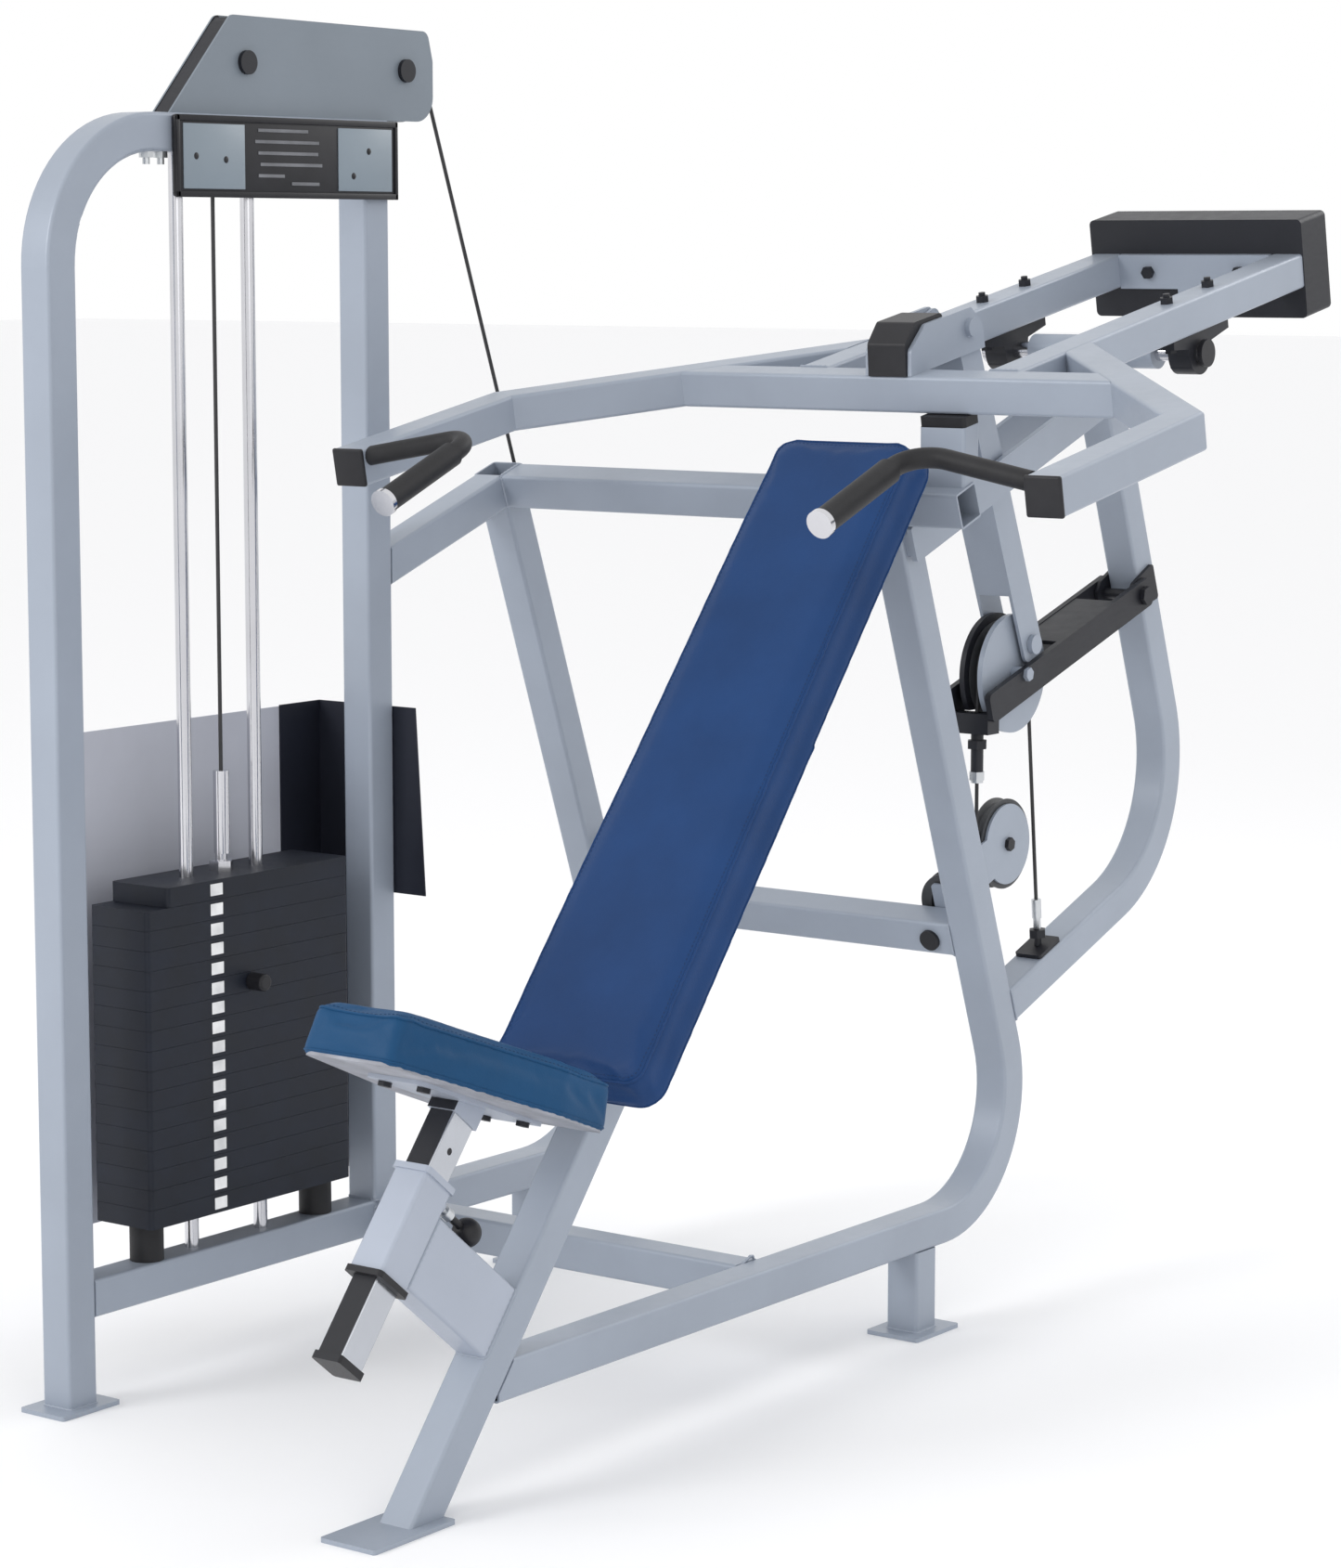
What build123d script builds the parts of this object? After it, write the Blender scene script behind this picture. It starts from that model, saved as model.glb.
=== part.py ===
from build123d import *
import math
import os

os.makedirs("parts", exist_ok=True)

# ---------------------------------------------------------------- driving dimensions (mm, degrees)
# X runs across the machine (the weight tower is on the -X side), Y runs to the rear, Z is up.
# The origin is on the floor, at the middle of the front foot plate.
TUBE = 50.8                 # square frame tube, outside
WALL = 3.0
TUBE_CORNER = 5.0
FOOT_THICK = 6.0
BASE_Z = 146.0              # centre of the tubes that run just above the floor

FRAME_TILT = 20.0           # uprights lean forward, upper tubes rise rearward, by this angle
UPRIGHT_FRONT = 1378.0      # front face of the uprights, measured along the tilted frame
UPRIGHT_REAR = UPRIGHT_FRONT + TUBE
UPRIGHT_MID = UPRIGHT_FRONT + TUBE / 2
FRAME_TOP = 766.2           # top face of the top cross tube, square to the tilted frame
CROSS_UNDER = FRAME_TOP - TUBE
LOOP_TOP = 712.0            # top of the rear loop and of the side plates
LOOP_REAR = 1997.5
LOOP_MID = LOOP_REAR - TUBE / 2
LOOP_LOW = -54.6            # centre of the loop's lower run
MAIN_BEND = 175.0
WIDE_BEND = 215.0
MID_CROSS_TOP = 97.0

TOWER_X = -681.0
TOWER_FRONT_Y = 151.4       # centre of the front post
TOWER_REAR_Y = 764.6        # centre of the rear post
TOWER_TOP_Z = 1695.5

LEG_ANGLE = 50.75           # front leg and seat slide, above the floor
LEG_REAR_FACE = -55.3       # the leg's rear face, square to its own direction
LEG_MID = LEG_REAR_FACE + TUBE / 2
LEG_FRONT_FACE = LEG_REAR_FACE + TUBE

ARM_TILT = 11.0
ARM_FRONT_Y = 570.0         # front end of the press arms, top face
ARM_FRONT_Z = 1252.0
ARM_X = 545.0               # centre of each side arm
ARM_CORNER = 338.0
RAIL_X = 155.0
RAIL_END = 1356.0
CROSS_FRONT = 498.0
PIVOT_Y = 1612.0
PIVOT_Z = 1370.0
SHAFT_R = 12.5
HOUSING_R = 24.0

LINK_PIN_S = 655.0          # along and above the arm's top plane
LINK_PIN_N = 35.0
LINK_LOW_Y = 1392.0
LINK_LOW_Z = 958.0
LINK_WIDE = 60.0
LINK_DEEP = 50.0
LINK_ANGLE = 112.27        # from the low pin up to the top pin
LINK_LONG = 489.9

LEVER_Y = 1690.0
LEVER_Z = 1008.0
LEVER_TILT = 17.5
SHEAVE_Y = 1361.5
SHEAVE_Z = 918.0
SHEAVE_R = 66.0             # radius of the cable's centre line on the lifting sheave

CABLE_R = 2.75
CABLE_PLANE = 1443.4        # the cable runs just behind the uprights, along the tilted frame
GUIDE_PULLEY_R = 62.0
GUIDE_PULLEY_W = 167.0
TURN_R = 50.0
TURN_W = 92.0
TURN_WIDE = 16.0
TOP_PULLEY_R = 52.0
TOP_PULLEY_Z = 1765.0
TOP_PULLEY_FRONT_Y = 511.0
PULLEY_WIDE = 20.0
AXLE_R = 5.0
RUN_GAP = 0.06              # radial clearance of a turning part on its pin

STACK_Y = 457.0
STACK_BASE_Z = 226.0
PLATE_PITCH = 26.8
PLATE_GAP = 0.4
PLATE_COUNT = 16
LIFTED_COUNT = 5
PLATE_WIDE = 104.0
PLATE_LONG = 400.0
ROD_SPACING = 138.0
ROD_R = 9.5

SEAT_TILT = -21.5
SEAT_FRONT_Y = -70.0
SEAT_FRONT_Z = 599.0
SEAT_LONG = 366.0
SEAT_THICK = 56.0
SEAT_FRONT_HALF = 74.0
SEAT_REAR_HALF = 136.0
SLEEVE_FRONT = 239.0
SLEEVE_REAR = 181.0
POST_FRONT = 233.0
POST_REAR = 187.0

PAD_LOW = 592.0             # lower end of the back pad, along the leg
PAD_HIGH = 1597.0
PAD_LOW_HALF = 129.0
PAD_HIGH_HALF = 118.0
PAD_THICK = 52.0
BOARD_THICK = 12.0
BOARD_REAR = 0.0            # rear face of the back board, square to the leg


# ---------------------------------------------------------------- planes and shared shapes
def side(x, tilt=0.0, y=0.0, z=0.0):
    """Upright plane at x whose first axis runs rearward and up by the tilt."""
    angle = math.radians(tilt)
    return Plane(origin=(x, y, z), x_dir=(0, math.cos(angle), math.sin(angle)), z_dir=(1, 0, 0))


def frame_side(x):
    return side(x, FRAME_TILT)


def leg_side(x):
    return side(x, LEG_ANGLE)


def arm_side(x):
    return side(x, ARM_TILT, ARM_FRONT_Y, ARM_FRONT_Z)


def seat_side(x):
    return side(x, SEAT_TILT, SEAT_FRONT_Y, SEAT_FRONT_Z)


def at(plane, along, above):
    """World point at a place on a side plane."""
    return plane.from_local_coords(Vector(along, above, 0))


def facing(plane, along, above, direction):
    """Plane square to a direction drawn on a side plane, for sections that keep X level."""
    normal = plane.from_local_coords(Vector(*direction, 0)) - plane.origin
    return Plane(origin=at(plane, along, above), x_dir=(1, 0, 0), z_dir=normal)


def straight_tube(start, length, wide=TUBE, deep=TUBE, wall=WALL, cuts=()):
    """Hollow tube from a start plane; each cut keeps the side that its normal points to."""
    with BuildPart() as tube:
        with BuildSketch(start):
            RectangleRounded(wide, deep, TUBE_CORNER)
            RectangleRounded(wide - 2 * wall, deep - 2 * wall, 1.5, mode=Mode.SUBTRACT)
        extrude(amount=length)
        for cut in cuts:
            split(bisect_by=cut, keep=Keep.TOP)
    return tube


def bent_tube(points, radii, start, cuts=()):
    """Hollow tube swept along straight runs joined by tangent arcs."""
    with BuildPart() as tube:
        with BuildLine() as path:
            FilletPolyline(*points, radius=radii)
        with BuildSketch(start):
            RectangleRounded(TUBE, TUBE, TUBE_CORNER)
            RectangleRounded(TUBE - 2 * WALL, TUBE - 2 * WALL, 2, mode=Mode.SUBTRACT)
        sweep(path=path.wires()[0])
        for cut in cuts:
            split(bisect_by=cut, keep=Keep.TOP)
    return tube


def block(plane, wide, deep, length, corner=0.0):
    """Solid bar of rectangular section, from a plane along its normal."""
    with BuildPart() as bar:
        with BuildSketch(plane):
            if corner > 0:
                RectangleRounded(wide, deep, corner)
            else:
                Rectangle(wide, deep)
        extrude(amount=length)
    return bar


def plate(plane, outline, thick, holes=(), corner=0.0):
    """Flat plate centred on a side plane; holes are (along, above, radius)."""
    with BuildPart() as sheet:
        with BuildSketch(plane) as profile:
            with BuildLine():
                Polyline(*outline, close=True)
            make_face()
            if corner > 0:
                fillet(profile.vertices(), corner)
            for along, above, radius in holes:
                with Locations((along, above)):
                    Circle(radius, mode=Mode.SUBTRACT)
        extrude(amount=thick / 2, both=True)
    return sheet


def pulley(plane, pitch_r, outer_r, bore_r, wide=PULLEY_WIDE):
    """Grooved wheel centred on a plane's origin, turning about the plane's normal."""
    half = wide / 2
    groove = 4.2
    with BuildPart() as wheel:
        with BuildSketch(Plane(origin=plane.origin, x_dir=plane.x_dir, z_dir=-plane.y_dir)):
            with BuildLine():
                Polyline(
                    (bore_r, -half), (outer_r, -half), (outer_r, -half + 2),
                    (pitch_r - CABLE_R - 0.5, -groove), (pitch_r - CABLE_R - 0.5, groove),
                    (outer_r, half - 2), (outer_r, half), (bore_r, half), close=True,
                )
            make_face()
        revolve(axis=Axis(plane.origin, plane.z_dir))
        with BuildSketch(plane.offset(half), plane.offset(-half)):
            Circle(pitch_r - 12)
            Circle(bore_r + 11, mode=Mode.SUBTRACT)
        extrude(amount=3.5, both=True, mode=Mode.SUBTRACT)
    return wheel


def save(piece, label):
    piece.part.label = label
    export_step(piece.part, f"parts/{label}.step")


# ---------------------------------------------------------------- base frame
centre = frame_side(0)
left = frame_side(TOWER_X)
cos_tilt = math.cos(math.radians(FRAME_TILT))
sin_tilt = math.sin(math.radians(FRAME_TILT))


def upright_corner(x):
    """Where the centre line of a base tube meets the centre line of its leaning upright."""
    return Vector(x, (UPRIGHT_MID - BASE_Z * sin_tilt) / cos_tilt, BASE_Z)


def frame_tube(x, front_y, bend, top):
    """Base tube that bends up into the leaning upright."""
    points = [Vector(x, front_y, BASE_Z), upright_corner(x), at(frame_side(x), UPRIGHT_MID, top)]
    return bent_tube(points, bend, Plane(origin=points[0], x_dir=(1, 0, 0), z_dir=(0, 1, 0)))


leg_plane = leg_side(0)
leg_up = leg_plane.x_dir
leg_out = leg_plane.y_dir
main_start_y = (BASE_Z + TUBE / 2) / math.tan(math.radians(LEG_ANGLE)) + 40
main_frame = frame_tube(0, main_start_y, MAIN_BEND, CROSS_UNDER)
leg_rear_cut = Plane(origin=at(leg_plane, 0, LEG_REAR_FACE), z_dir=-leg_out)


def with_rear_foot(frame, x):
    """Frame tube with a foot plate and a short post under its bend."""
    height = BASE_Z - TUBE / 2 - FOOT_THICK
    post = straight_tube(Plane(origin=(x, 1136, FOOT_THICK), z_dir=(0, 0, 1)), height)
    with BuildPart() as footed:
        add(frame.part)
        add(post.part)
        with BuildSketch(Plane(origin=(x, 1140, 0), z_dir=(0, 0, 1))):
            RectangleRounded(86, 108, 4)
        extrude(amount=FOOT_THICK)
    return footed


main_footed = with_rear_foot(main_frame, 0)
with BuildPart() as main_frame_tube:
    add(main_footed.part)
    split(bisect_by=leg_rear_cut, keep=Keep.TOP)
save(main_frame_tube, "main_frame_tube")

left_frame = frame_tube(TOWER_X, TOWER_FRONT_Y + TUBE / 2, WIDE_BEND, FRAME_TOP)
left_frame_tube = with_rear_foot(left_frame, TOWER_X)
save(left_frame_tube, "left_frame_tube")

floor_cut = Plane(origin=(0, 0, FOOT_THICK), z_dir=(0, 0, 1))
upright_face_cut = Plane(origin=at(centre, UPRIGHT_FRONT, 0), z_dir=-centre.x_dir)
frame_top_cut = Plane(origin=at(centre, 0, FRAME_TOP), z_dir=-centre.y_dir)
leg_tube = straight_tube(
    facing(leg_plane, -60, LEG_MID, (1, 0)), 1700, cuts=(floor_cut, upright_face_cut, frame_top_cut)
)
with BuildPart() as front_leg:
    add(leg_tube.part)
    with BuildSketch(Plane.XY):
        RectangleRounded(86, 150, 4)
    extrude(amount=FOOT_THICK)
    for along in (760, 1180):
        with BuildSketch(facing(leg_plane, along, LEG_FRONT_FACE, (0, 1))):
            RectangleRounded(150, 44, 6)
        extrude(amount=BOARD_REAR - LEG_FRONT_FACE)
save(front_leg, "front_leg")


# ---------------------------------------------------------------- tower and cross tubes
tower_points = [
    Vector(TOWER_X, TOWER_FRONT_Y, FOOT_THICK),
    Vector(TOWER_X, TOWER_FRONT_Y, TOWER_TOP_Z - TUBE / 2),
    Vector(TOWER_X, TOWER_REAR_Y + TUBE / 2, TOWER_TOP_Z - TUBE / 2),
]
arch_tube = bent_tube(
    tower_points, MAIN_BEND, Plane(origin=tower_points[0], x_dir=(1, 0, 0), z_dir=(0, 0, 1))
)
CABLE_Y = TOP_PULLEY_FRONT_Y - TOP_PULLEY_R
with BuildPart() as tower_arch:
    add(arch_tube.part)
    with BuildSketch(Plane(origin=(TOWER_X, TOWER_FRONT_Y, 0), z_dir=(0, 0, 1))):
        RectangleRounded(80, 106, 4)
    extrude(amount=FOOT_THICK)
    with BuildSketch(Plane(origin=(TOWER_X, CABLE_Y, TOWER_TOP_Z - TUBE - 5), z_dir=(0, 0, 1))):
        Circle(9)
    extrude(amount=TUBE + 10, mode=Mode.SUBTRACT)
save(tower_arch, "tower_arch")

rear_post_base = BASE_Z + TUBE / 2
tower_rear_post = straight_tube(
    Plane(origin=(TOWER_X, TOWER_REAR_Y, rear_post_base), x_dir=(1, 0, 0), z_dir=(0, 0, 1)),
    TOWER_TOP_Z - TUBE - rear_post_base,
)
save(tower_rear_post, "tower_rear_post")

CROSS_START = TOWER_X + TUBE / 2
CROSS_LONG = -TUBE / 2 - CROSS_START
floor_cross_tube = straight_tube(
    Plane(origin=(CROSS_START, TOWER_REAR_Y + 4, BASE_Z), x_dir=(0, 1, 0), z_dir=(1, 0, 0)), CROSS_LONG
)
save(floor_cross_tube, "floor_cross_tube")


def cross_tube(top, length):
    """Tube across the machine, square to the tilted frame, starting at the left upright."""
    middle = at(frame_side(CROSS_START), UPRIGHT_MID, top - TUBE / 2)
    return straight_tube(Plane(origin=middle, x_dir=centre.x_dir, z_dir=(1, 0, 0)), length)


CROSS_OVERHANG = 128.0
top_cross_tube = cross_tube(FRAME_TOP, CROSS_OVERHANG - CROSS_START)
save(top_cross_tube, "top_cross_tube")
cross_low = cross_tube(MID_CROSS_TOP, CROSS_LONG)
TURN_X = (TOWER_X + TURN_R, -TURN_R)


def rear_plane(x, above, along=UPRIGHT_REAR):
    """Plane square to the tilted frame's first axis, facing rearward, x level."""
    return Plane(origin=at(frame_side(x), along, above), x_dir=(1, 0, 0), z_dir=centre.x_dir)


with BuildPart() as mid_cross_tube:
    add(cross_low.part)
    for x in TURN_X:
        with BuildSketch(rear_plane(x, 91)):
            RectangleRounded(56, 82, 6)
        extrude(amount=4)
        with BuildSketch(rear_plane(x, TURN_W)):
            Circle(AXLE_R)
        extrude(amount=32)
        with BuildSketch(rear_plane(x, TURN_W, CABLE_PLANE + TURN_WIDE / 2 + 0.4)):
            Circle(10)
        extrude(amount=6)
    with BuildSketch(rear_plane(-60, 70, UPRIGHT_FRONT - 5)):
        Circle(15.5)
    extrude(amount=5)
save(mid_cross_tube, "mid_cross_tube")

tower_face_cut = Plane(origin=(0, TOWER_REAR_Y + TUBE / 2, 0), z_dir=(0, 1, 0))
left_face = at(left, UPRIGHT_FRONT, FRAME_TOP - TUBE / 2)
left_top_tube = straight_tube(
    Plane(origin=left_face, x_dir=(1, 0, 0), z_dir=-left.x_dir), 320, cuts=(tower_face_cut,)
)
save(left_top_tube, "left_top_tube")

loop_points = [
    at(centre, UPRIGHT_REAR, LOOP_LOW), at(centre, LOOP_MID, LOOP_LOW), at(centre, LOOP_MID, LOOP_TOP)
]
rear_loop = bent_tube(loop_points, WIDE_BEND, facing(centre, UPRIGHT_REAR, LOOP_LOW, (1, 0)))
save(rear_loop, "rear_loop")

SIDE_PLATE_X = 37.0
SIDE_PLATE_THICK = 8.0
SPACER = SIDE_PLATE_X - SIDE_PLATE_THICK / 2 - TUBE / 2
with BuildPart() as top_side_plates:
    for sign in (-1, 1):
        with BuildSketch(frame_side(sign * SIDE_PLATE_X)) as profile:
            with BuildLine():
                Polyline(
                    (UPRIGHT_FRONT + 6, LOOP_TOP - TUBE), (LOOP_REAR - 6, LOOP_TOP - TUBE),
                    (LOOP_REAR - 6, LOOP_TOP), (UPRIGHT_FRONT + 6, LOOP_TOP), close=True,
                )
            make_face()
            fillet(profile.vertices(), 4)
        extrude(amount=SIDE_PLATE_THICK / 2, both=True)
        for along in (UPRIGHT_MID, LOOP_MID):
            spot = at(frame_side(sign * TUBE / 2), along, LOOP_TOP - TUBE / 2)
            with BuildSketch(Plane(origin=spot, x_dir=centre.x_dir, z_dir=(sign, 0, 0))):
                RectangleRounded(36, 40, 6)
            extrude(amount=SPACER)
save(top_side_plates, "top_side_plates")


# ---------------------------------------------------------------- main pivot and arm stop


def sleeve(x_low, x_high, outer, bore, y=PIVOT_Y, z=PIVOT_Z):
    """Round sleeve across the machine."""
    with BuildPart() as ring:
        with BuildSketch(side(x_low, 0, y, z)):
            Circle(outer)
            if bore > 0:
                Circle(bore, mode=Mode.SUBTRACT)
        extrude(amount=x_high - x_low)
    return ring


pivot_housing = sleeve(-104, 104, HOUSING_R, SHAFT_R)
save(pivot_housing, "pivot_housing")
with BuildPart() as pivot_shaft:
    with BuildSketch(side(-186, 0, PIVOT_Y, PIVOT_Z)):
        Circle(SHAFT_R)
    extrude(amount=372)
    for x_low in (-186, 178.5):
        with BuildSketch(side(x_low, 0, PIVOT_Y, PIVOT_Z)):
            Circle(20)
        extrude(amount=7.5)
save(pivot_shaft, "pivot_shaft")

STOP_X = 90.0
STOP_WIDE = 72.0
STOP_DEEP = 38.0
STOP_PAD = 14.0
STOP_GAP = 0.6
arm_plane = arm_side(0)
arm_up = arm_plane.y_dir
cross_under = at(arm_plane, CROSS_FRONT + TUBE / 2, -TUBE - STOP_GAP)
stop_top_cut = Plane(origin=cross_under - arm_up * STOP_PAD, z_dir=-arm_up)
beam_top_cut = Plane(origin=at(centre, 0, FRAME_TOP), z_dir=centre.y_dir)
stop_start = Plane(origin=(STOP_X, 1075, 1170), x_dir=(1, 0, 0), z_dir=(0, 0, 1))
stop_tube = straight_tube(stop_start, 200, STOP_WIDE, STOP_DEEP, cuts=(stop_top_cut, beam_top_cut))
stop_pad_start = Plane(origin=stop_top_cut.origin, x_dir=(1, 0, 0), z_dir=arm_up)
pad_middle = stop_pad_start.to_local_coords(Vector(STOP_X, 1075, stop_top_cut.origin.Z))
with BuildPart() as arm_stop:
    add(stop_tube.part)
    with BuildSketch(stop_pad_start):
        with Locations((STOP_X, pad_middle.Y)):
            RectangleRounded(STOP_WIDE, STOP_DEEP - 1, 5)
    extrude(amount=STOP_PAD)
save(arm_stop, "arm_stop")


# ---------------------------------------------------------------- seat slide and seat
def leg_block(start, length, above, wide, deep, corner=0.0):
    """Bar along the leg direction."""
    return block(facing(leg_plane, start, above, (1, 0)), wide, deep, length, corner)


SLEEVE_LOW = 234.0
SLEEVE_HIGH = 366.0
SLEEVE_MID = (SLEEVE_FRONT + SLEEVE_REAR) / 2
POST_MID = (POST_FRONT + POST_REAR) / 2
POST_DEEP = POST_FRONT - POST_REAR
POST_WIDE = 38.0
PIN_ALONG = 356.0
seat_sleeve_tube = straight_tube(
    facing(leg_plane, SLEEVE_LOW, SLEEVE_MID, (1, 0)), SLEEVE_HIGH - SLEEVE_LOW,
    TUBE, SLEEVE_FRONT - SLEEVE_REAR, wall=5.0,
)


def pin_plane(above):
    """Plane square to the leg's outward direction, facing the leg, at the pull pin."""
    return facing(leg_plane, PIN_ALONG, above, (0, -1))


with BuildPart() as seat_sleeve:
    add(seat_sleeve_tube.part)
    for start in (SLEEVE_LOW - 8, SLEEVE_HIGH):
        with BuildSketch(facing(leg_plane, start, SLEEVE_MID, (1, 0))):
            RectangleRounded(TUBE + 6, SLEEVE_FRONT - SLEEVE_REAR + 6, 6)
            Rectangle(POST_WIDE + 0.7, POST_DEEP + 0.7, mode=Mode.SUBTRACT)
        extrude(amount=8)
    with BuildSketch(facing(leg_plane, 288, LEG_FRONT_FACE, (0, 1))):
        RectangleRounded(TUBE - 3, 96, TUBE_CORNER)
        RectangleRounded(TUBE - 9, 90, 2, mode=Mode.SUBTRACT)
    extrude(amount=SLEEVE_REAR - LEG_FRONT_FACE)
    with BuildSketch(pin_plane(SLEEVE_REAR + 1)):
        Circle(9)
    extrude(amount=20)
    with BuildSketch(pin_plane(SLEEVE_REAR + 5.5)):
        Circle(5 + RUN_GAP)
    extrude(amount=30, mode=Mode.SUBTRACT)
save(seat_sleeve, "seat_sleeve")

POST_LOW = 124.0
POST_HIGH = 452.0
HOLE_PITCH = 30.0
with BuildPart() as seat_post:
    with BuildSketch(facing(leg_plane, POST_LOW, POST_MID, (1, 0))):
        RectangleRounded(POST_WIDE, POST_DEEP, 3)
        RectangleRounded(POST_WIDE - 8, POST_DEEP - 8, 1, mode=Mode.SUBTRACT)
    extrude(amount=POST_HIGH - POST_LOW)
    for step in range(-6, 4):
        with BuildSketch(facing(leg_plane, PIN_ALONG + step * HOLE_PITCH, POST_MID, (0, -1))):
            Circle(5.4)
        extrude(amount=POST_DEEP, mode=Mode.SUBTRACT)
    with BuildSketch(leg_plane):
        with Locations((337, POST_MID), (373, POST_MID), (409, POST_MID)):
            Circle(4.5)
    extrude(amount=POST_WIDE, mode=Mode.SUBTRACT)
    with BuildSketch(facing(leg_plane, POST_LOW - 10, POST_MID, (1, 0))):
        RectangleRounded(POST_WIDE + 6, POST_DEEP + 6, 4)
    extrude(amount=10)
save(seat_post, "seat_post")

seat_plane = seat_side(0)
BOARD_UNDER = -BOARD_THICK
seat_normal = seat_plane.y_dir
board_cut = Plane(origin=at(seat_plane, 0, BOARD_UNDER), z_dir=-seat_normal)
seat_riser = leg_block(POST_HIGH, 90, POST_MID, POST_WIDE + 4, POST_DEEP + 6)
with BuildPart() as seat_bracket:
    add(seat_riser.part)
    split(bisect_by=board_cut, keep=Keep.TOP)
    bracket_spot = Plane(origin=at(seat_plane, 222, BOARD_UNDER), x_dir=(1, 0, 0), z_dir=-seat_normal)
    bracket_bottom = bracket_spot.offset(5)
    with BuildSketch(bracket_spot):
        RectangleRounded(90, 250, 12)
    extrude(amount=5)
    with BuildSketch(bracket_bottom):
        with Locations((-30, -100), (30, -100), (-30, 100), (30, 100)):
            RegularPolygon(9, 6)
    extrude(amount=6)
save(seat_bracket, "seat_bracket")


def seat_outline(inset):
    """Half-round front corners and a wider rear, on the seat's own plane."""
    return [
        (-SEAT_FRONT_HALF + inset, inset), (SEAT_FRONT_HALF - inset, inset),
        (SEAT_REAR_HALF - inset, SEAT_LONG * 0.72), (SEAT_REAR_HALF - inset, SEAT_LONG - inset),
        (-SEAT_REAR_HALF + inset, SEAT_LONG - inset), (-SEAT_REAR_HALF + inset, SEAT_LONG * 0.72),
    ]


def seat_slab(low, high, inset, corner):
    with BuildPart() as slab:
        start = at(seat_plane, 0, low)
        with BuildSketch(Plane(origin=start, x_dir=(1, 0, 0), z_dir=seat_normal)) as profile:
            with BuildLine():
                Polyline(*seat_outline(inset), close=True)
            make_face()
            fillet(profile.vertices(), corner)
        extrude(amount=high - low)
    return slab


seat_board = seat_slab(BOARD_UNDER, 0, 6, 22)
save(seat_board, "seat_board")
seat_cushion = seat_slab(0.3, SEAT_THICK, 0, 26)
with BuildPart() as seat_pad:
    add(seat_cushion.part)
    fillet(seat_pad.faces().sort_by(Axis(seat_plane.origin, seat_normal))[-1].edges(), 14)
save(seat_pad, "seat_pad")

with BuildPart() as seat_pin:
    with BuildSketch(pin_plane(POST_REAR - 0.6)):
        Circle(5)
    extrude(amount=80)
    with BuildSketch(pin_plane(SLEEVE_REAR - 27.5)):
        Circle(8)
    extrude(amount=14)
    with Locations(at(leg_plane, PIN_ALONG, SLEEVE_REAR - 84)):
        Sphere(18.5)
save(seat_pin, "seat_pin")


# ---------------------------------------------------------------- back rest
with BuildPart() as back_board:
    with BuildSketch(Plane(origin=at(leg_plane, 0, BOARD_REAR), x_dir=(1, 0, 0), z_dir=leg_out)) as profile:
        with BuildLine():
            Polyline(
                (-PAD_LOW_HALF + 10, PAD_LOW + 12), (PAD_LOW_HALF - 10, PAD_LOW + 12),
                (PAD_HIGH_HALF - 10, PAD_HIGH - 12), (-PAD_HIGH_HALF + 10, PAD_HIGH - 12), close=True,
            )
        make_face()
        fillet(profile.vertices(), 30)
    extrude(amount=BOARD_THICK)
save(back_board, "back_board")
with BuildPart() as back_pad:
    front = at(leg_plane, 0, BOARD_REAR + BOARD_THICK + 0.3)
    with BuildSketch(Plane(origin=front, x_dir=(1, 0, 0), z_dir=leg_out)) as profile:
        with BuildLine():
            Polyline(
                (-PAD_LOW_HALF, PAD_LOW), (PAD_LOW_HALF, PAD_LOW),
                (PAD_HIGH_HALF, PAD_HIGH), (-PAD_HIGH_HALF, PAD_HIGH), close=True,
            )
        make_face()
        fillet(profile.vertices(), 38)
    extrude(amount=PAD_THICK - 0.3)
    fillet(back_pad.faces().sort_by(Axis(leg_plane.origin, leg_out))[-1].edges(), 15)
save(back_pad, "back_pad")


# ---------------------------------------------------------------- weight tower
label_panel = block(
    Plane(origin=(TOWER_X + TUBE / 2, 575.5, 1639.5), x_dir=(0, 1, 0), z_dir=(1, 0, 0)), 443, 107, 12.6, 4
)
save(label_panel, "label_panel")

ROD_Y = (STACK_Y - ROD_SPACING / 2, STACK_Y + ROD_SPACING / 2)
ROD_LOW = BASE_Z + TUBE / 2
ROD_LONG = TOWER_TOP_Z - TUBE - ROD_LOW


def level_plane(y, z, x=TOWER_X):
    return Plane(origin=(x, y, z), x_dir=(1, 0, 0), z_dir=(0, 0, 1))


with BuildPart() as guide_rods:
    for y in ROD_Y:
        with BuildSketch(level_plane(y, ROD_LOW)):
            Circle(ROD_R)
        extrude(amount=ROD_LONG)
save(guide_rods, "guide_rods")


def weight_plates(first, last, rod_hole, long, middle_y):
    """Stacked plates with guide rod holes and a hole for the selector rod."""
    with BuildPart() as plates:
        for index in range(first, last):
            low = STACK_BASE_Z + index * PLATE_PITCH
            with BuildSketch(level_plane(middle_y, low)):
                RectangleRounded(PLATE_WIDE, long, 6)
                for y in ROD_Y:
                    with Locations((0, y - middle_y)):
                        Circle(ROD_R + RUN_GAP, mode=Mode.SUBTRACT)
                with Locations((0, STACK_Y - middle_y)):
                    Circle(rod_hole, mode=Mode.SUBTRACT)
            extrude(amount=PLATE_PITCH - PLATE_GAP)
    return plates


SELECTOR_R = 8.0
SELECTOR_PIN_R = 5.0
REST_COUNT = PLATE_COUNT - LIFTED_COUNT
BUMPER_HIGH = STACK_BASE_Z - PLATE_GAP - ROD_LOW
resting = weight_plates(0, REST_COUNT, SELECTOR_R + 0.4, PLATE_LONG, STACK_Y)
with BuildPart() as resting_plates:
    add(resting.part)
    for y in (300, 640):
        with BuildSketch(level_plane(y, ROD_LOW)):
            Circle(23)
        extrude(amount=BUMPER_HIGH)
save(resting_plates, "resting_plates")

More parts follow.
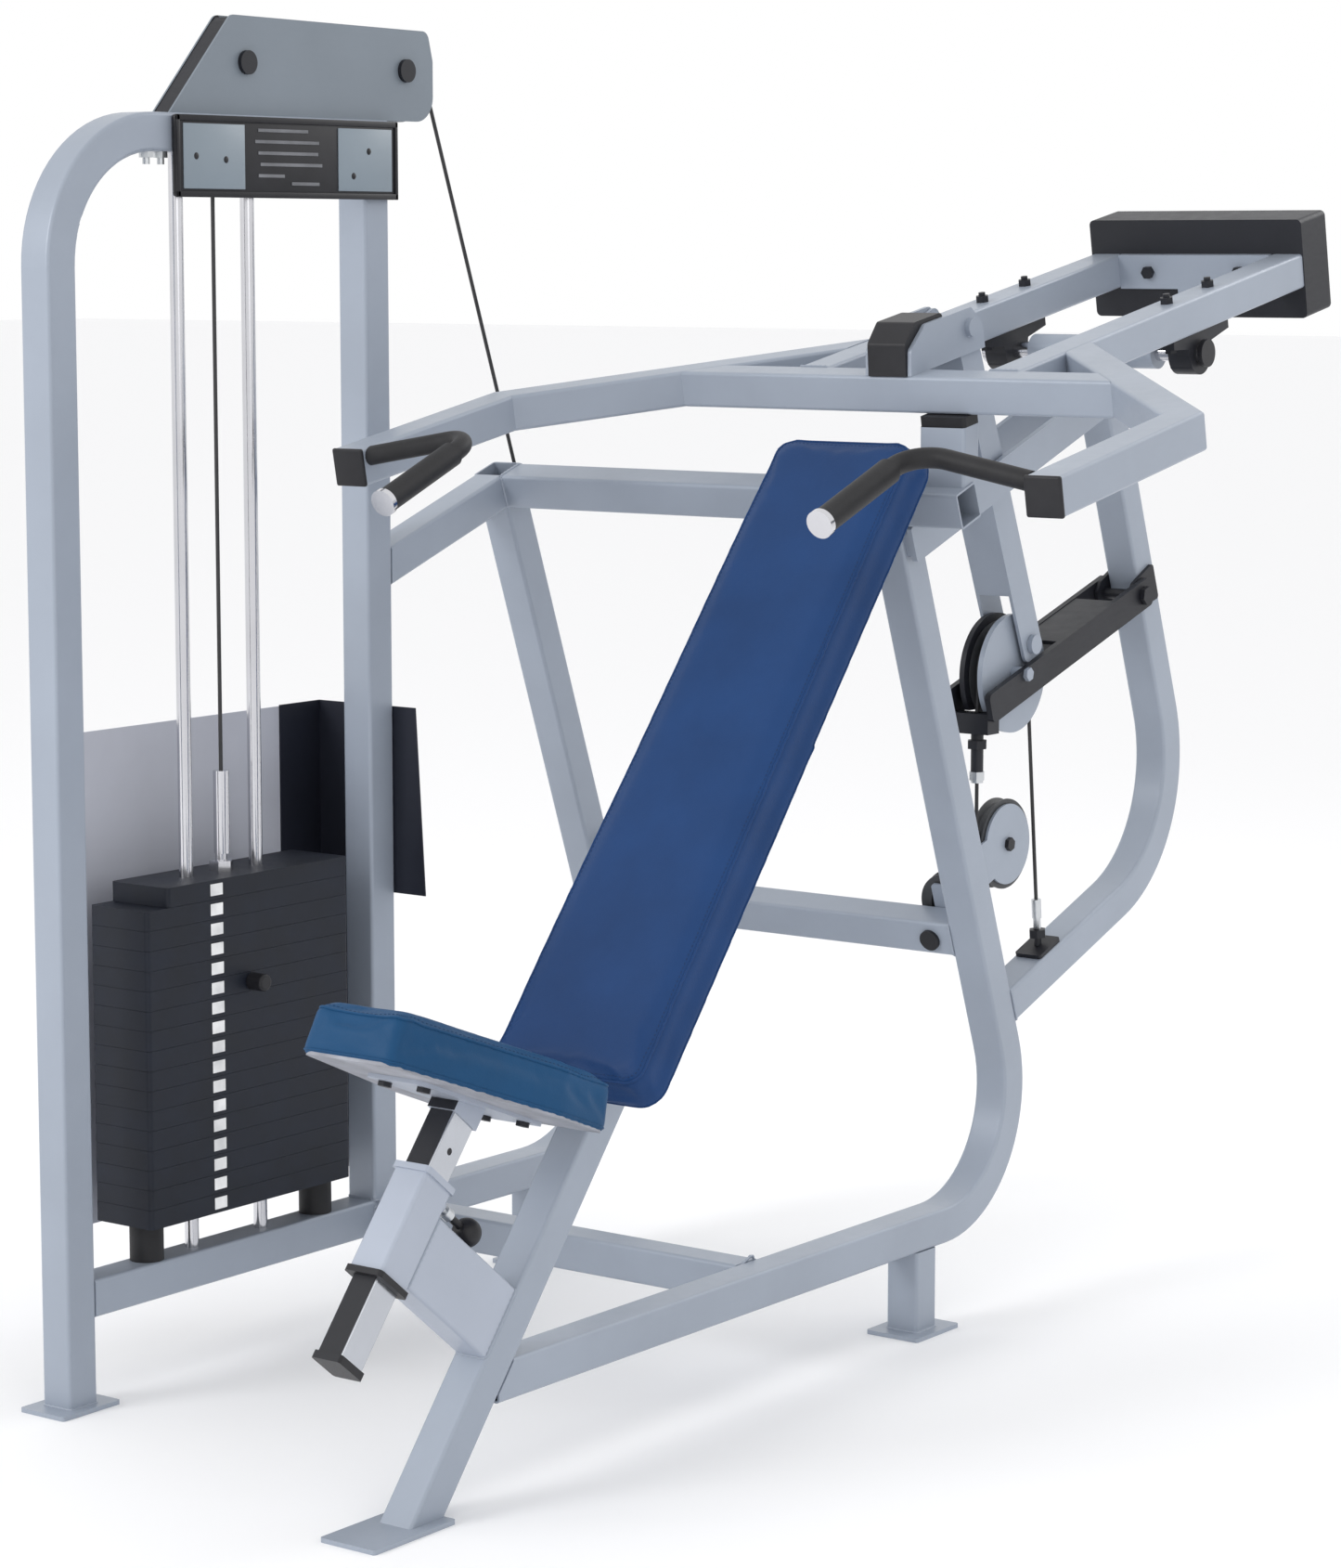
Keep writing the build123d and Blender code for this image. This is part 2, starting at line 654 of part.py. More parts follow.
pin_z = STACK_BASE_Z + REST_COUNT * PLATE_PITCH + (PLATE_PITCH - PLATE_GAP) / 2
lifted = weight_plates(REST_COUNT, PLATE_COUNT, SELECTOR_R, PLATE_LONG, STACK_Y)
with BuildPart() as lifted_plates:
    add(lifted.part)
    with BuildSketch(side(TOWER_X, 0, STACK_Y, pin_z)):
        Circle(SELECTOR_PIN_R + RUN_GAP)
    extrude(amount=PLATE_WIDE, mode=Mode.SUBTRACT)
save(lifted_plates, "lifted_plates")

HEAD_LONG = PLATE_LONG - 40
head_z = STACK_BASE_Z + PLATE_COUNT * PLATE_PITCH
FITTING_TOP = 818.0
head = weight_plates(PLATE_COUNT, PLATE_COUNT + 1, SELECTOR_R, HEAD_LONG, STACK_Y + 20)
with BuildPart() as head_plate:
    add(head.part)
    with BuildSketch(level_plane(STACK_Y, STACK_BASE_Z + 12)):
        Circle(SELECTOR_R)
    extrude(amount=head_z + 60 - STACK_BASE_Z - 12)
    with BuildSketch(level_plane(STACK_Y, head_z + PLATE_PITCH - PLATE_GAP)):
        RegularPolygon(17, 6)
    extrude(amount=14)
    with BuildSketch(level_plane(CABLE_Y, head_z + 50)):
        Circle(11)
    extrude(amount=FITTING_TOP - head_z - 50)
    with BuildSketch(side(TOWER_X - SELECTOR_R - 2, 0, STACK_Y, pin_z)):
        Circle(SELECTOR_PIN_R + RUN_GAP)
    extrude(amount=2 * SELECTOR_R + 4, mode=Mode.SUBTRACT)
save(head_plate, "head_plate")

with BuildPart() as selector_pin:
    with BuildSketch(side(TOWER_X - 5.5, 0, STACK_Y, pin_z)):
        Circle(SELECTOR_PIN_R)
    extrude(amount=PLATE_WIDE / 2 + 14)
    with BuildSketch(side(TOWER_X + PLATE_WIDE / 2 + 2, 0, STACK_Y, pin_z)):
        Circle(12)
    extrude(amount=26)
    fillet(selector_pin.faces().sort_by(Axis.X)[-1].edges(), 4)
save(selector_pin, "selector_pin")

HOUSING_HALF = 13.0
HOUSING_SHEET = 3.0
TOP_LINE_Z = TOP_PULLEY_Z + TOP_PULLEY_R
cable_corner_y = (CABLE_PLANE - TOP_LINE_Z * sin_tilt) / cos_tilt
top_rear_y = (CABLE_PLANE - TOP_PULLEY_R - TOP_PULLEY_Z * sin_tilt) / cos_tilt
with BuildPart() as pulley_housing:
    for middle in (TOWER_X - HOUSING_HALF - 3, TOWER_X + HOUSING_HALF):
        with BuildSketch(side(middle)) as profile:
            with BuildLine():
                Polyline(
                    (362, TOWER_TOP_Z), (482, 1827), (887, 1821), (898, 1780), (898, TOWER_TOP_Z), close=True
                )
            make_face()
            fillet(profile.vertices().sort_by(Axis.Y)[-2:], 14)
            fillet(profile.vertices().sort_by(Axis.X)[-2:].sort_by(Axis.Y)[0], 36)
            fillet(profile.vertices().sort_by(Axis.X)[-2:].sort_by(Axis.Y)[-1], 14)
        extrude(amount=HOUSING_SHEET)
    for y in (TOP_PULLEY_FRONT_Y, top_rear_y):
        with BuildSketch(side(TOWER_X - HOUSING_HALF - 9, 0, y, TOP_PULLEY_Z)):
            Circle(AXLE_R)
        extrude(amount=2 * HOUSING_HALF + 18)
        for low in (-HOUSING_HALF - 9, HOUSING_HALF + 3):
            with BuildSketch(side(TOWER_X + low, 0, y, TOP_PULLEY_Z)):
                Circle(16)
            extrude(amount=6)
        for low in (-HOUSING_HALF, PULLEY_WIDE / 2 + 0.4):
            with BuildSketch(side(TOWER_X + low, 0, y, TOP_PULLEY_Z)):
                Circle(10)
            extrude(amount=HOUSING_HALF - PULLEY_WIDE / 2 - 0.4)
    with BuildSketch(side(TOWER_X - HOUSING_HALF)):
        with BuildLine():
            Polyline(
                (363, TOWER_TOP_Z), (474.5, 1817.7), (481, 1823.5), (493, 1823.5), (493, 1820.5),
                (482, 1820.5), (367, TOWER_TOP_Z), close=True,
            )
        make_face()
    extrude(amount=2 * HOUSING_HALF)
save(pulley_housing, "pulley_housing")

SHROUD_X = -800.0
with BuildPart() as side_shroud:
    with BuildSketch(side(SHROUD_X)):
        with BuildLine():
            Polyline((230, 200), (716, 200), (716, 875), (250, 875), (230, 855), close=True)
        make_face()
    extrude(amount=2.5)
save(side_shroud, "side_shroud")

REAR_FACE_Y = TOWER_REAR_Y + TUBE / 2
with BuildPart() as rear_shroud:
    with BuildSketch(Plane(origin=(0, REAR_FACE_Y + 2, 0), x_dir=(1, 0, 0), z_dir=(0, -1, 0))):
        with BuildLine():
            Polyline(
                (SHROUD_X + 2.5, 200), (TOWER_X, 200), (TOWER_X, 610), (-600, 610), (-616, 877),
                (SHROUD_X + 2.5, 877), close=True,
            )
        make_face()
    extrude(amount=2)
    with BuildSketch(side(SHROUD_X + 2.5)):
        with BuildLine():
            Polyline(
                (706, 200), (REAR_FACE_Y + 2, 200), (REAR_FACE_Y + 2, 877), (706, 877), close=True
            )
        make_face()
    extrude(amount=2)
save(rear_shroud, "rear_shroud")


# ---------------------------------------------------------------- press arm
def arm_top(above=0.0):
    """Plane on the arms' top surface, x across and y along the arm, raised by a height."""
    return Plane(origin=at(arm_plane, 0, above), x_dir=(1, 0, 0), z_dir=arm_up)


def on_arm(x, along, above):
    return arm_top().from_local_coords(Vector(x, along, above))


ARM_MID = -TUBE / 2
arm_along = arm_plane.x_dir
RAIL_FACE = RAIL_X + TUBE / 2
for hand, sign in (("left", -1), ("right", 1)):
    start = on_arm(sign * ARM_X, 0, ARM_MID)
    run = ARM_X - 120
    with BuildPart() as arm:
        with BuildLine() as path:
            Polyline(
                start, on_arm(sign * ARM_X, ARM_CORNER, ARM_MID),
                on_arm(sign * (ARM_X - run), ARM_CORNER + run, ARM_MID),
            )
        with BuildSketch(Plane(origin=start, x_dir=(1, 0, 0), z_dir=arm_along)):
            RectangleRounded(TUBE, TUBE, TUBE_CORNER)
            RectangleRounded(TUBE - 2 * WALL, TUBE - 2 * WALL, 2, mode=Mode.SUBTRACT)
        sweep(path=path.wires()[0], transition=Transition.RIGHT)
        split(bisect_by=Plane(origin=(sign * RAIL_FACE, 0, 0), z_dir=(sign, 0, 0)), keep=Keep.TOP)
        with BuildSketch(Plane(origin=start, x_dir=(1, 0, 0), z_dir=arm_along)):
            RectangleRounded(TUBE, TUBE, TUBE_CORNER)
        extrude(amount=5)
    save(arm, f"arm_{hand}")

INNER_FACE = ARM_X + ARM_CORNER - TUBE / 2 * math.sqrt(2)
beam_cuts = []
for sign in (-1, 1):
    spot = on_arm(sign * (INNER_FACE - 320), 320, 0)
    beam_cuts.append(Plane(origin=spot, z_dir=Vector(-sign, 0, 0) - arm_along))
cross_beam = straight_tube(
    Plane(origin=on_arm(-420, CROSS_FRONT + TUBE / 2, ARM_MID), x_dir=arm_along, z_dir=(1, 0, 0)),
    840, cuts=beam_cuts,
)
save(cross_beam, "cross_beam")

RAIL_START = CROSS_FRONT + TUBE
BOLT_SPOTS = (992.0, 1112.0)
BOLT_R = 5.0
for hand, sign in (("left", -1), ("right", 1)):
    rail_tube = straight_tube(
        Plane(origin=on_arm(sign * RAIL_X, RAIL_START, ARM_MID), x_dir=(1, 0, 0), z_dir=arm_along),
        RAIL_END - RAIL_START,
    )
    with BuildPart() as rail:
        add(rail_tube.part)
        with BuildSketch(arm_top(-TUBE - 5)):
            with Locations(*[(sign * RAIL_X, spot) for spot in BOLT_SPOTS]):
                Circle(BOLT_R)
        extrude(amount=TUBE + 10, mode=Mode.SUBTRACT)
    save(rail, f"rail_{hand}")

    with BuildPart() as pillow:
        with BuildSketch(arm_side(sign * RAIL_X)) as profile:
            with BuildLine():
                Polyline(
                    (972, -TUBE), (1132, -TUBE), (1132, -TUBE - 13), (1080, -TUBE - 20), (1072, -101),
                    (1019, -101), (1012, -TUBE - 20), (972, -TUBE - 13), close=True,
                )
            make_face()
            with Locations((1045.4, -83)):
                Circle(31)
                Circle(SHAFT_R + RUN_GAP, mode=Mode.SUBTRACT)
        extrude(amount=18, both=True)
        with BuildSketch(arm_top(-TUBE - 21)):
            with Locations(*[(sign * RAIL_X, spot) for spot in BOLT_SPOTS]):
                RegularPolygon(9, 6)
        extrude(amount=9)
        with BuildSketch(arm_top(-TUBE)):
            with Locations(*[(sign * RAIL_X, spot) for spot in BOLT_SPOTS]):
                Circle(BOLT_R)
        extrude(amount=TUBE + 14)
        with BuildSketch(arm_top(0)):
            with Locations(*[(sign * RAIL_X, spot) for spot in BOLT_SPOTS]):
                RegularPolygon(10, 6)
        extrude(amount=9)
    save(pillow, f"pillow_block_{hand}")

rear_mid = -26
with BuildPart() as rear_cross_plate:
    with BuildSketch(Plane(origin=on_arm(0, RAIL_END - 10, rear_mid), x_dir=(1, 0, 0), z_dir=arm_along)):
        Rectangle(2 * (RAIL_X - TUBE / 2), 52)
        with Locations((0, 34)):
            Rectangle(60, 16)
    extrude(amount=10)
    with BuildSketch(Plane(origin=on_arm(0, RAIL_END - 10, rear_mid), x_dir=(-1, 0, 0), z_dir=-arm_along)):
        with Locations((-78, 0), (78, 0)):
            RegularPolygon(10, 6)
    extrude(amount=8)
save(rear_cross_plate, "rear_cross_plate")

with BuildPart() as counterweight:
    with BuildSketch(Plane(origin=on_arm(0, RAIL_END, -22.5), x_dir=(1, 0, 0), z_dir=arm_along)):
        RectangleRounded(364, 149, 8)
    extrude(amount=80)
    fillet(counterweight.faces().sort_by(Axis(on_arm(0, 0, 0), arm_along))[-1].edges(), 4)
save(counterweight, "counterweight")

HANDLE_R = 13.0
GRIP_R = 16.5
for hand, sign in (("left", -1), ("right", 1)):
    handle_points = [
        Vector(sign * (ARM_X - TUBE / 2), 590, 1243), Vector(sign * 344, 600, 1274),
        Vector(sign * 340, 408, 1197),
    ]
    first_run = handle_points[1] - handle_points[0]
    last_run = (handle_points[2] - handle_points[1]).normalized()
    start = handle_points[0] + Vector(sign * 2, 0, 0)
    with BuildPart() as handle:
        with BuildLine() as path:
            FilletPolyline(start, handle_points[1], handle_points[2], radius=45)
        with BuildSketch(Plane(origin=start, z_dir=handle_points[1] - start)):
            Circle(HANDLE_R)
        sweep(path=path.wires()[0])
        split(bisect_by=Plane(origin=handle_points[0], z_dir=(-sign, 0, 0)), keep=Keep.TOP)
        with BuildSketch(Plane(origin=handle_points[2] - last_run * 148, z_dir=last_run)):
            Circle(GRIP_R)
        extrude(amount=146)
        with BuildSketch(Plane(origin=handle_points[2] - last_run * 2, z_dir=last_run)):
            Circle(GRIP_R + 1.5)
        extrude(amount=8)
    save(handle, f"handle_{hand}")

# lugs that carry the link, with their pin and the cover between them
LUG_IN = 31.0
LUG_THICK = 6.0
PIN_R = 8.0
with BuildPart() as link_lugs:
    for low in (-LUG_IN - LUG_THICK, LUG_IN):
        with BuildSketch(arm_side(low)) as profile:
            with BuildLine():
                Polyline(
                    (500, 0), (690, 0), (690, 32), (664, 62), (548, 62), (506, 34), close=True
                )
            make_face()
            fillet(profile.vertices().sort_by(Axis.Y)[-4:], 10)
        extrude(amount=LUG_THICK)
    pin_end = on_arm(-LUG_IN - 14, LINK_PIN_S, LINK_PIN_N)
    with BuildSketch(Plane(origin=pin_end, x_dir=(0, 1, 0), z_dir=(1, 0, 0))):
        Circle(PIN_R)
    extrude(amount=2 * LUG_IN + 28)
    for low in (-LUG_IN - 14, LUG_IN + 6):
        with BuildSketch(Plane(origin=on_arm(low, LINK_PIN_S, LINK_PIN_N), x_dir=(0, 1, 0), z_dir=(1, 0, 0))):
            Circle(13)
        extrude(amount=8)
save(link_lugs, "link_lugs")
with BuildPart() as link_cover:
    with BuildSketch(arm_side(0)) as profile:
        with BuildLine():
            Polyline((497, 0), (600, 0), (600, 68), (530, 68), (502, 44), close=True)
        make_face()
        fillet(profile.vertices().sort_by(Axis.Y)[-3:], 8)
    extrude(amount=LUG_IN - 0.5, both=True)
save(link_cover, "link_cover")


# ---------------------------------------------------------------- link and lifting lever
link_plane = side(0, LINK_ANGLE, LINK_LOW_Y, LINK_LOW_Z)
LINK_SHEET = 5.0
LINK_FREE_R = PIN_R + 3.0
with BuildPart() as link_channel:
    for low in (-LINK_WIDE / 2, LINK_WIDE / 2 - LINK_SHEET):
        with BuildSketch(side(low, LINK_ANGLE, LINK_LOW_Y, LINK_LOW_Z)) as profile:
            with Locations((LINK_LONG / 2, 0)):
                RectangleRounded(LINK_LONG + 44, LINK_DEEP, 14)
            Circle(LINK_FREE_R, mode=Mode.SUBTRACT)
            with Locations((LINK_LONG, 0)):
                Circle(PIN_R + RUN_GAP, mode=Mode.SUBTRACT)
        extrude(amount=LINK_SHEET)
    with BuildSketch(facing(link_plane, 88, LINK_DEEP / 2 - LINK_SHEET / 2, (1, 0))):
        Rectangle(LINK_WIDE, LINK_SHEET)
    extrude(amount=LINK_LONG - 88 + 6)
save(link_channel, "link_channel")


def lever_side(x):
    return side(x, LEVER_TILT, LEVER_Y, LEVER_Z)


lever_plane = lever_side(0)
sheave_spot = lever_plane.to_local_coords(Vector(0, SHEAVE_Y, SHEAVE_Z))
low_spot = lever_plane.to_local_coords(Vector(0, LINK_LOW_Y, LINK_LOW_Z))
BAR_IN = 31.5
BAR_THICK = 9.0
BAR_HIGH = 43.0
BAR_FRONT = -442.0
WEB_FRONT = -235.0
WEB_REAR = -75.0
TUBE_END_Z = 766.0
KEEPER_Y = SHEAVE_Y - SHEAVE_R
with BuildPart() as lever_bars:
    for low in (-BAR_IN - BAR_THICK, BAR_IN):
        with BuildSketch(lever_side(low)):
            with Locations(((BAR_FRONT + 24) / 2, 0)):
                RectangleRounded(24 - BAR_FRONT, BAR_HIGH, 9)
            Circle(PIN_R + RUN_GAP, mode=Mode.SUBTRACT)
            with Locations((sheave_spot.X, sheave_spot.Y)):
                Circle(AXLE_R, mode=Mode.SUBTRACT)
        extrude(amount=BAR_THICK)
    with BuildSketch(Plane(origin=(0, 1288, 838), x_dir=(1, 0, 0), z_dir=(0, 0, 1))):
        Rectangle(2 * BAR_IN, 30)
    extrude(amount=29)
    with BuildSketch(Plane(origin=(0, KEEPER_Y, TUBE_END_Z), x_dir=(1, 0, 0), z_dir=(0, 0, 1))):
        Circle(9)
    extrude(amount=73)
    for low, wide in ((770, 12), (815, 15)):
        with BuildSketch(Plane(origin=(0, KEEPER_Y, low), x_dir=(1, 0, 0), z_dir=(0, 0, 1))):
            RegularPolygon(wide, 6)
        extrude(amount=12)
    with BuildSketch(facing(lever_plane, WEB_FRONT, BAR_HIGH / 2 - 4, (1, 0))):
        Rectangle(2 * BAR_IN, 6)
    extrude(amount=WEB_REAR - WEB_FRONT)
    with BuildSketch(Plane(origin=(0, KEEPER_Y, 760), x_dir=(1, 0, 0), z_dir=(0, 0, 1))):
        Circle(5)
    extrude(amount=120, mode=Mode.SUBTRACT)
save(lever_bars, "lever_bars")

CHEEK_R = 85.0
CHEEK_IN = 11.0
CHEEK_THICK = 8.0
CHEEK_OUT = CHEEK_IN + CHEEK_THICK
with BuildPart() as sheave_cheeks:
    for sign in (-1, 1):
        inner = CHEEK_IN if sign > 0 else -CHEEK_OUT
        with BuildSketch(side(inner, 0, SHEAVE_Y, SHEAVE_Z)):
            Circle(CHEEK_R)
            with Locations((-CHEEK_R + 13.5, -75)):
                Rectangle(58, 52, mode=Mode.SUBTRACT)
        extrude(amount=CHEEK_THICK)
        spacer_low = CHEEK_OUT if sign > 0 else -BAR_IN
        for along in (sheave_spot.X - 58, sheave_spot.X, sheave_spot.X + 66):
            above = sheave_spot.Y if along == sheave_spot.X else 0
            with BuildSketch(lever_side(spacer_low)):
                with Locations((along, above)):
                    Circle(10)
            extrude(amount=BAR_IN - CHEEK_OUT)
        stub_low = CHEEK_IN if sign > 0 else -LINK_WIDE / 2 - 8
        with BuildSketch(lever_side(stub_low)):
            with Locations((low_spot.X, low_spot.Y)):
                Circle(PIN_R)
        extrude(amount=LINK_WIDE / 2 + 8 - CHEEK_IN)
        head_low = LINK_WIDE / 2 + 0.5 if sign > 0 else -LINK_WIDE / 2 - 8
        with BuildSketch(lever_side(head_low)):
            with Locations((low_spot.X, low_spot.Y)):
                Circle(14)
        extrude(amount=7.5)
        end_low = BAR_IN + BAR_THICK if sign > 0 else -BAR_IN - BAR_THICK - 6
        with BuildSketch(lever_side(end_low)):
            with Locations((sheave_spot.X, sheave_spot.Y)):
                RegularPolygon(10, 6)
        extrude(amount=6)
    with BuildSketch(lever_side(-BAR_IN - BAR_THICK)):
        with Locations((sheave_spot.X, sheave_spot.Y)):
            Circle(AXLE_R)
    extrude(amount=2 * (BAR_IN + BAR_THICK))
save(sheave_cheeks, "sheave_cheeks")

pivot_spot = centre.to_local_coords(Vector(0, LEVER_Y, LEVER_Z))
with BuildPart() as lever_pivot:
    for low in (-TUBE / 2 - 5.6, TUBE / 2):
        with BuildSketch(frame_side(low)) as profile:
            with BuildLine():
                Polyline(
                    (LOOP_REAR - 10, pivot_spot.Y - 28), (LOOP_REAR - 10, pivot_spot.Y + 28),
                    (pivot_spot.X - 6, pivot_spot.Y + 22), (pivot_spot.X - 22, pivot_spot.Y + 10),
                    (pivot_spot.X - 22, pivot_spot.Y - 10), (pivot_spot.X - 6, pivot_spot.Y - 22), close=True,
                )
            make_face()
            fillet(profile.vertices(), 5)
        extrude(amount=5.6)
    with BuildSketch(lever_side(-BAR_IN - BAR_THICK - 8)):
        Circle(PIN_R)
    extrude(amount=2 * (BAR_IN + BAR_THICK + 8))
    for low in (-BAR_IN - BAR_THICK - 8, BAR_IN + BAR_THICK + 0.5):
        with BuildSketch(lever_side(low)):
            RegularPolygon(14, 6)
        extrude(amount=7.5)
save(lever_pivot, "lever_pivot")


# ---------------------------------------------------------------- pulleys
sheave = pulley(side(0, 0, SHEAVE_Y, SHEAVE_Z), SHEAVE_R, SHEAVE_R + 8, AXLE_R + RUN_GAP)
save(sheave, "sheave")
GUIDE_U = CABLE_PLANE + GUIDE_PULLEY_R
guide_spot = at(centre, GUIDE_U, GUIDE_PULLEY_W)
guide_side = side(0, 0, guide_spot.Y, guide_spot.Z)
guide_pulley = pulley(guide_side, GUIDE_PULLEY_R, GUIDE_PULLEY_R + 3, AXLE_R + RUN_GAP)
save(guide_pulley, "guide_pulley")
for label, x in (("turn_pulley_left", TURN_X[0]), ("turn_pulley_right", TURN_X[1])):
    turn_plane = rear_plane(x, TURN_W, CABLE_PLANE)
    turn_pulley = pulley(turn_plane, TURN_R, TURN_R + 5, AXLE_R + RUN_GAP, TURN_WIDE)
    save(turn_pulley, label)
for label, y in (("top_pulley_front", TOP_PULLEY_FRONT_Y), ("top_pulley_rear", top_rear_y)):
    top_pulley = pulley(
        side(TOWER_X, 0, y, TOP_PULLEY_Z), TOP_PULLEY_R, TOP_PULLEY_R + 5, AXLE_R + RUN_GAP
    )
    save(top_pulley, label)

GUIDE_CHEEK_IN = 11.0
GUIDE_CHEEK = 4.0
with BuildPart() as guide_pulley_bracket:
    for low in (-GUIDE_CHEEK_IN - GUIDE_CHEEK, GUIDE_CHEEK_IN):
        with BuildSketch(frame_side(low)):
            with Locations((GUIDE_U, GUIDE_PULLEY_W)):
                Circle(58)
            with Locations(((UPRIGHT_REAR + GUIDE_U) / 2, GUIDE_PULLEY_W)):
                Rectangle(GUIDE_U - UPRIGHT_REAR, 62)
        extrude(amount=GUIDE_CHEEK)
    for low in (-GUIDE_CHEEK_IN - GUIDE_CHEEK - 6, GUIDE_CHEEK_IN + GUIDE_CHEEK):
        with BuildSketch(frame_side(low)):
            with Locations((GUIDE_U, GUIDE_PULLEY_W)):
                RegularPolygon(10, 6)
        extrude(amount=6)
    with BuildSketch(frame_side(-GUIDE_CHEEK_IN - GUIDE_CHEEK)):
        with Locations((GUIDE_U, GUIDE_PULLEY_W)):
            Circle(AXLE_R)
    extrude(amount=2 * (GUIDE_CHEEK_IN + GUIDE_CHEEK))
save(guide_pulley_bracket, "guide_pulley_bracket")


# ---------------------------------------------------------------- cables
def cable(label, points, radii):
    """Round cable along straight runs joined by tangent arcs."""
    with BuildPart() as line:
        with BuildLine() as path:
            if radii:
                FilletPolyline(*points, radius=radii)
            else:
                Line(points[0], points[1])
        with BuildSketch(Plane(origin=points[0], z_dir=points[1] - points[0])):
            Circle(CABLE_R)
        sweep(path=path.wires()[0])
    save(line, label)


def on_frame(x, above):
    return at(frame_side(x), CABLE_PLANE, above)


FRONT_RUN_LOW = 684.0
run_corner_z = (CABLE_PLANE - KEEPER_Y * cos_tilt) / sin_tilt
CABLE_SPLIT_Z = TOP_PULLEY_Z - 2
main_points = [
    Vector(TOWER_X, CABLE_Y, CABLE_SPLIT_Z),
    Vector(TOWER_X, CABLE_Y, TOP_LINE_Z),
    Vector(TOWER_X, cable_corner_y, TOP_LINE_Z),
    on_frame(TOWER_X, TURN_W - TURN_R),
    on_frame(0, TURN_W - TURN_R),
    Vector(0, KEEPER_Y, run_corner_z),
    Vector(0, KEEPER_Y, FRONT_RUN_LOW),
]
CABLE_RADII = [TOP_PULLEY_R, TOP_PULLEY_R, TURN_R, TURN_R, GUIDE_PULLEY_R]
cable("main_cable", main_points, CABLE_RADII)
stack_top = Vector(TOWER_X, CABLE_Y, CABLE_SPLIT_Z)
cable("stack_cable", [Vector(TOWER_X, CABLE_Y, FITTING_TOP), stack_top], None)

ANCHOR_Y = 1462.0
ANCHOR_Z = 560.0
anchor_dx = ANCHOR_Y - SHEAVE_Y
anchor_dz = ANCHOR_Z - SHEAVE_Z
anchor_far = math.hypot(anchor_dx, anchor_dz)
leave_angle = math.atan2(anchor_dz, anchor_dx) + math.acos(SHEAVE_R / anchor_far)
leave_spot = Vector(
    0, SHEAVE_Y + SHEAVE_R * math.cos(leave_angle), SHEAVE_Z + SHEAVE_R * math.sin(leave_angle)
)
anchor_spot = Vector(0, ANCHOR_Y, ANCHOR_Z)
rear_dir = (leave_spot - anchor_spot).normalized()
rear_start = anchor_spot + rear_dir * 17
with BuildPart() as lift_cable:
    with BuildSketch(Plane(origin=(0, KEEPER_Y, FRONT_RUN_LOW), z_dir=(0, 0, 1))):
        Circle(CABLE_R)
    extrude(amount=TUBE_END_Z - 0.5 - FRONT_RUN_LOW)
    with BuildSketch(Plane(origin=rear_start, z_dir=rear_dir)):
        Circle(CABLE_R)
    extrude(amount=(leave_spot - rear_start).length)
save(lift_cable, "lift_cable")
with BuildPart() as sheave_cable:
    wrap_degrees = 180 - math.degrees(leave_angle)
    with BuildSketch(Plane(origin=(0, KEEPER_Y, TUBE_END_Z), x_dir=(1, 0, 0), z_dir=(0, 0, 1))):
        Circle(CABLE_R)
    extrude(amount=SHEAVE_Z - TUBE_END_Z)
    with BuildSketch(Plane(origin=(0, KEEPER_Y, SHEAVE_Z), x_dir=(1, 0, 0), z_dir=(0, 0, 1))):
        Circle(CABLE_R)
    revolve(axis=Axis((0, SHEAVE_Y, SHEAVE_Z), (-1, 0, 0)), revolution_arc=wrap_degrees)
save(sheave_cable, "sheave_cable")

anchor_plane = Plane(origin=anchor_spot, x_dir=(1, 0, 0), z_dir=-rear_dir)
loop_face = Plane(origin=at(centre, 0, LOOP_LOW + TUBE / 2), z_dir=centre.y_dir)
with BuildPart() as cable_anchor:
    with BuildSketch(anchor_plane.offset(-17)):
        Circle(7)
    extrude(amount=28)
    with BuildSketch(anchor_plane.offset(10)):
        Circle(5.5)
    extrude(amount=80)
    with BuildSketch(anchor_plane.offset(28)):
        RegularPolygon(13, 6)
    extrude(amount=12)
    split(bisect_by=loop_face, keep=Keep.TOP)
    along = centre.to_local_coords(anchor_spot - rear_dir * 58).X
    foot = at(centre, along, LOOP_LOW + TUBE / 2)
    with BuildSketch(Plane(origin=foot, x_dir=(1, 0, 0), z_dir=centre.y_dir)):
        RectangleRounded(44, 60, 5)
    extrude(amount=6)
save(cable_anchor, "cable_anchor")
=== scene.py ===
import bmesh
import bpy
import math
from mathutils import Matrix, Vector
from mathutils.bvhtree import BVHTree

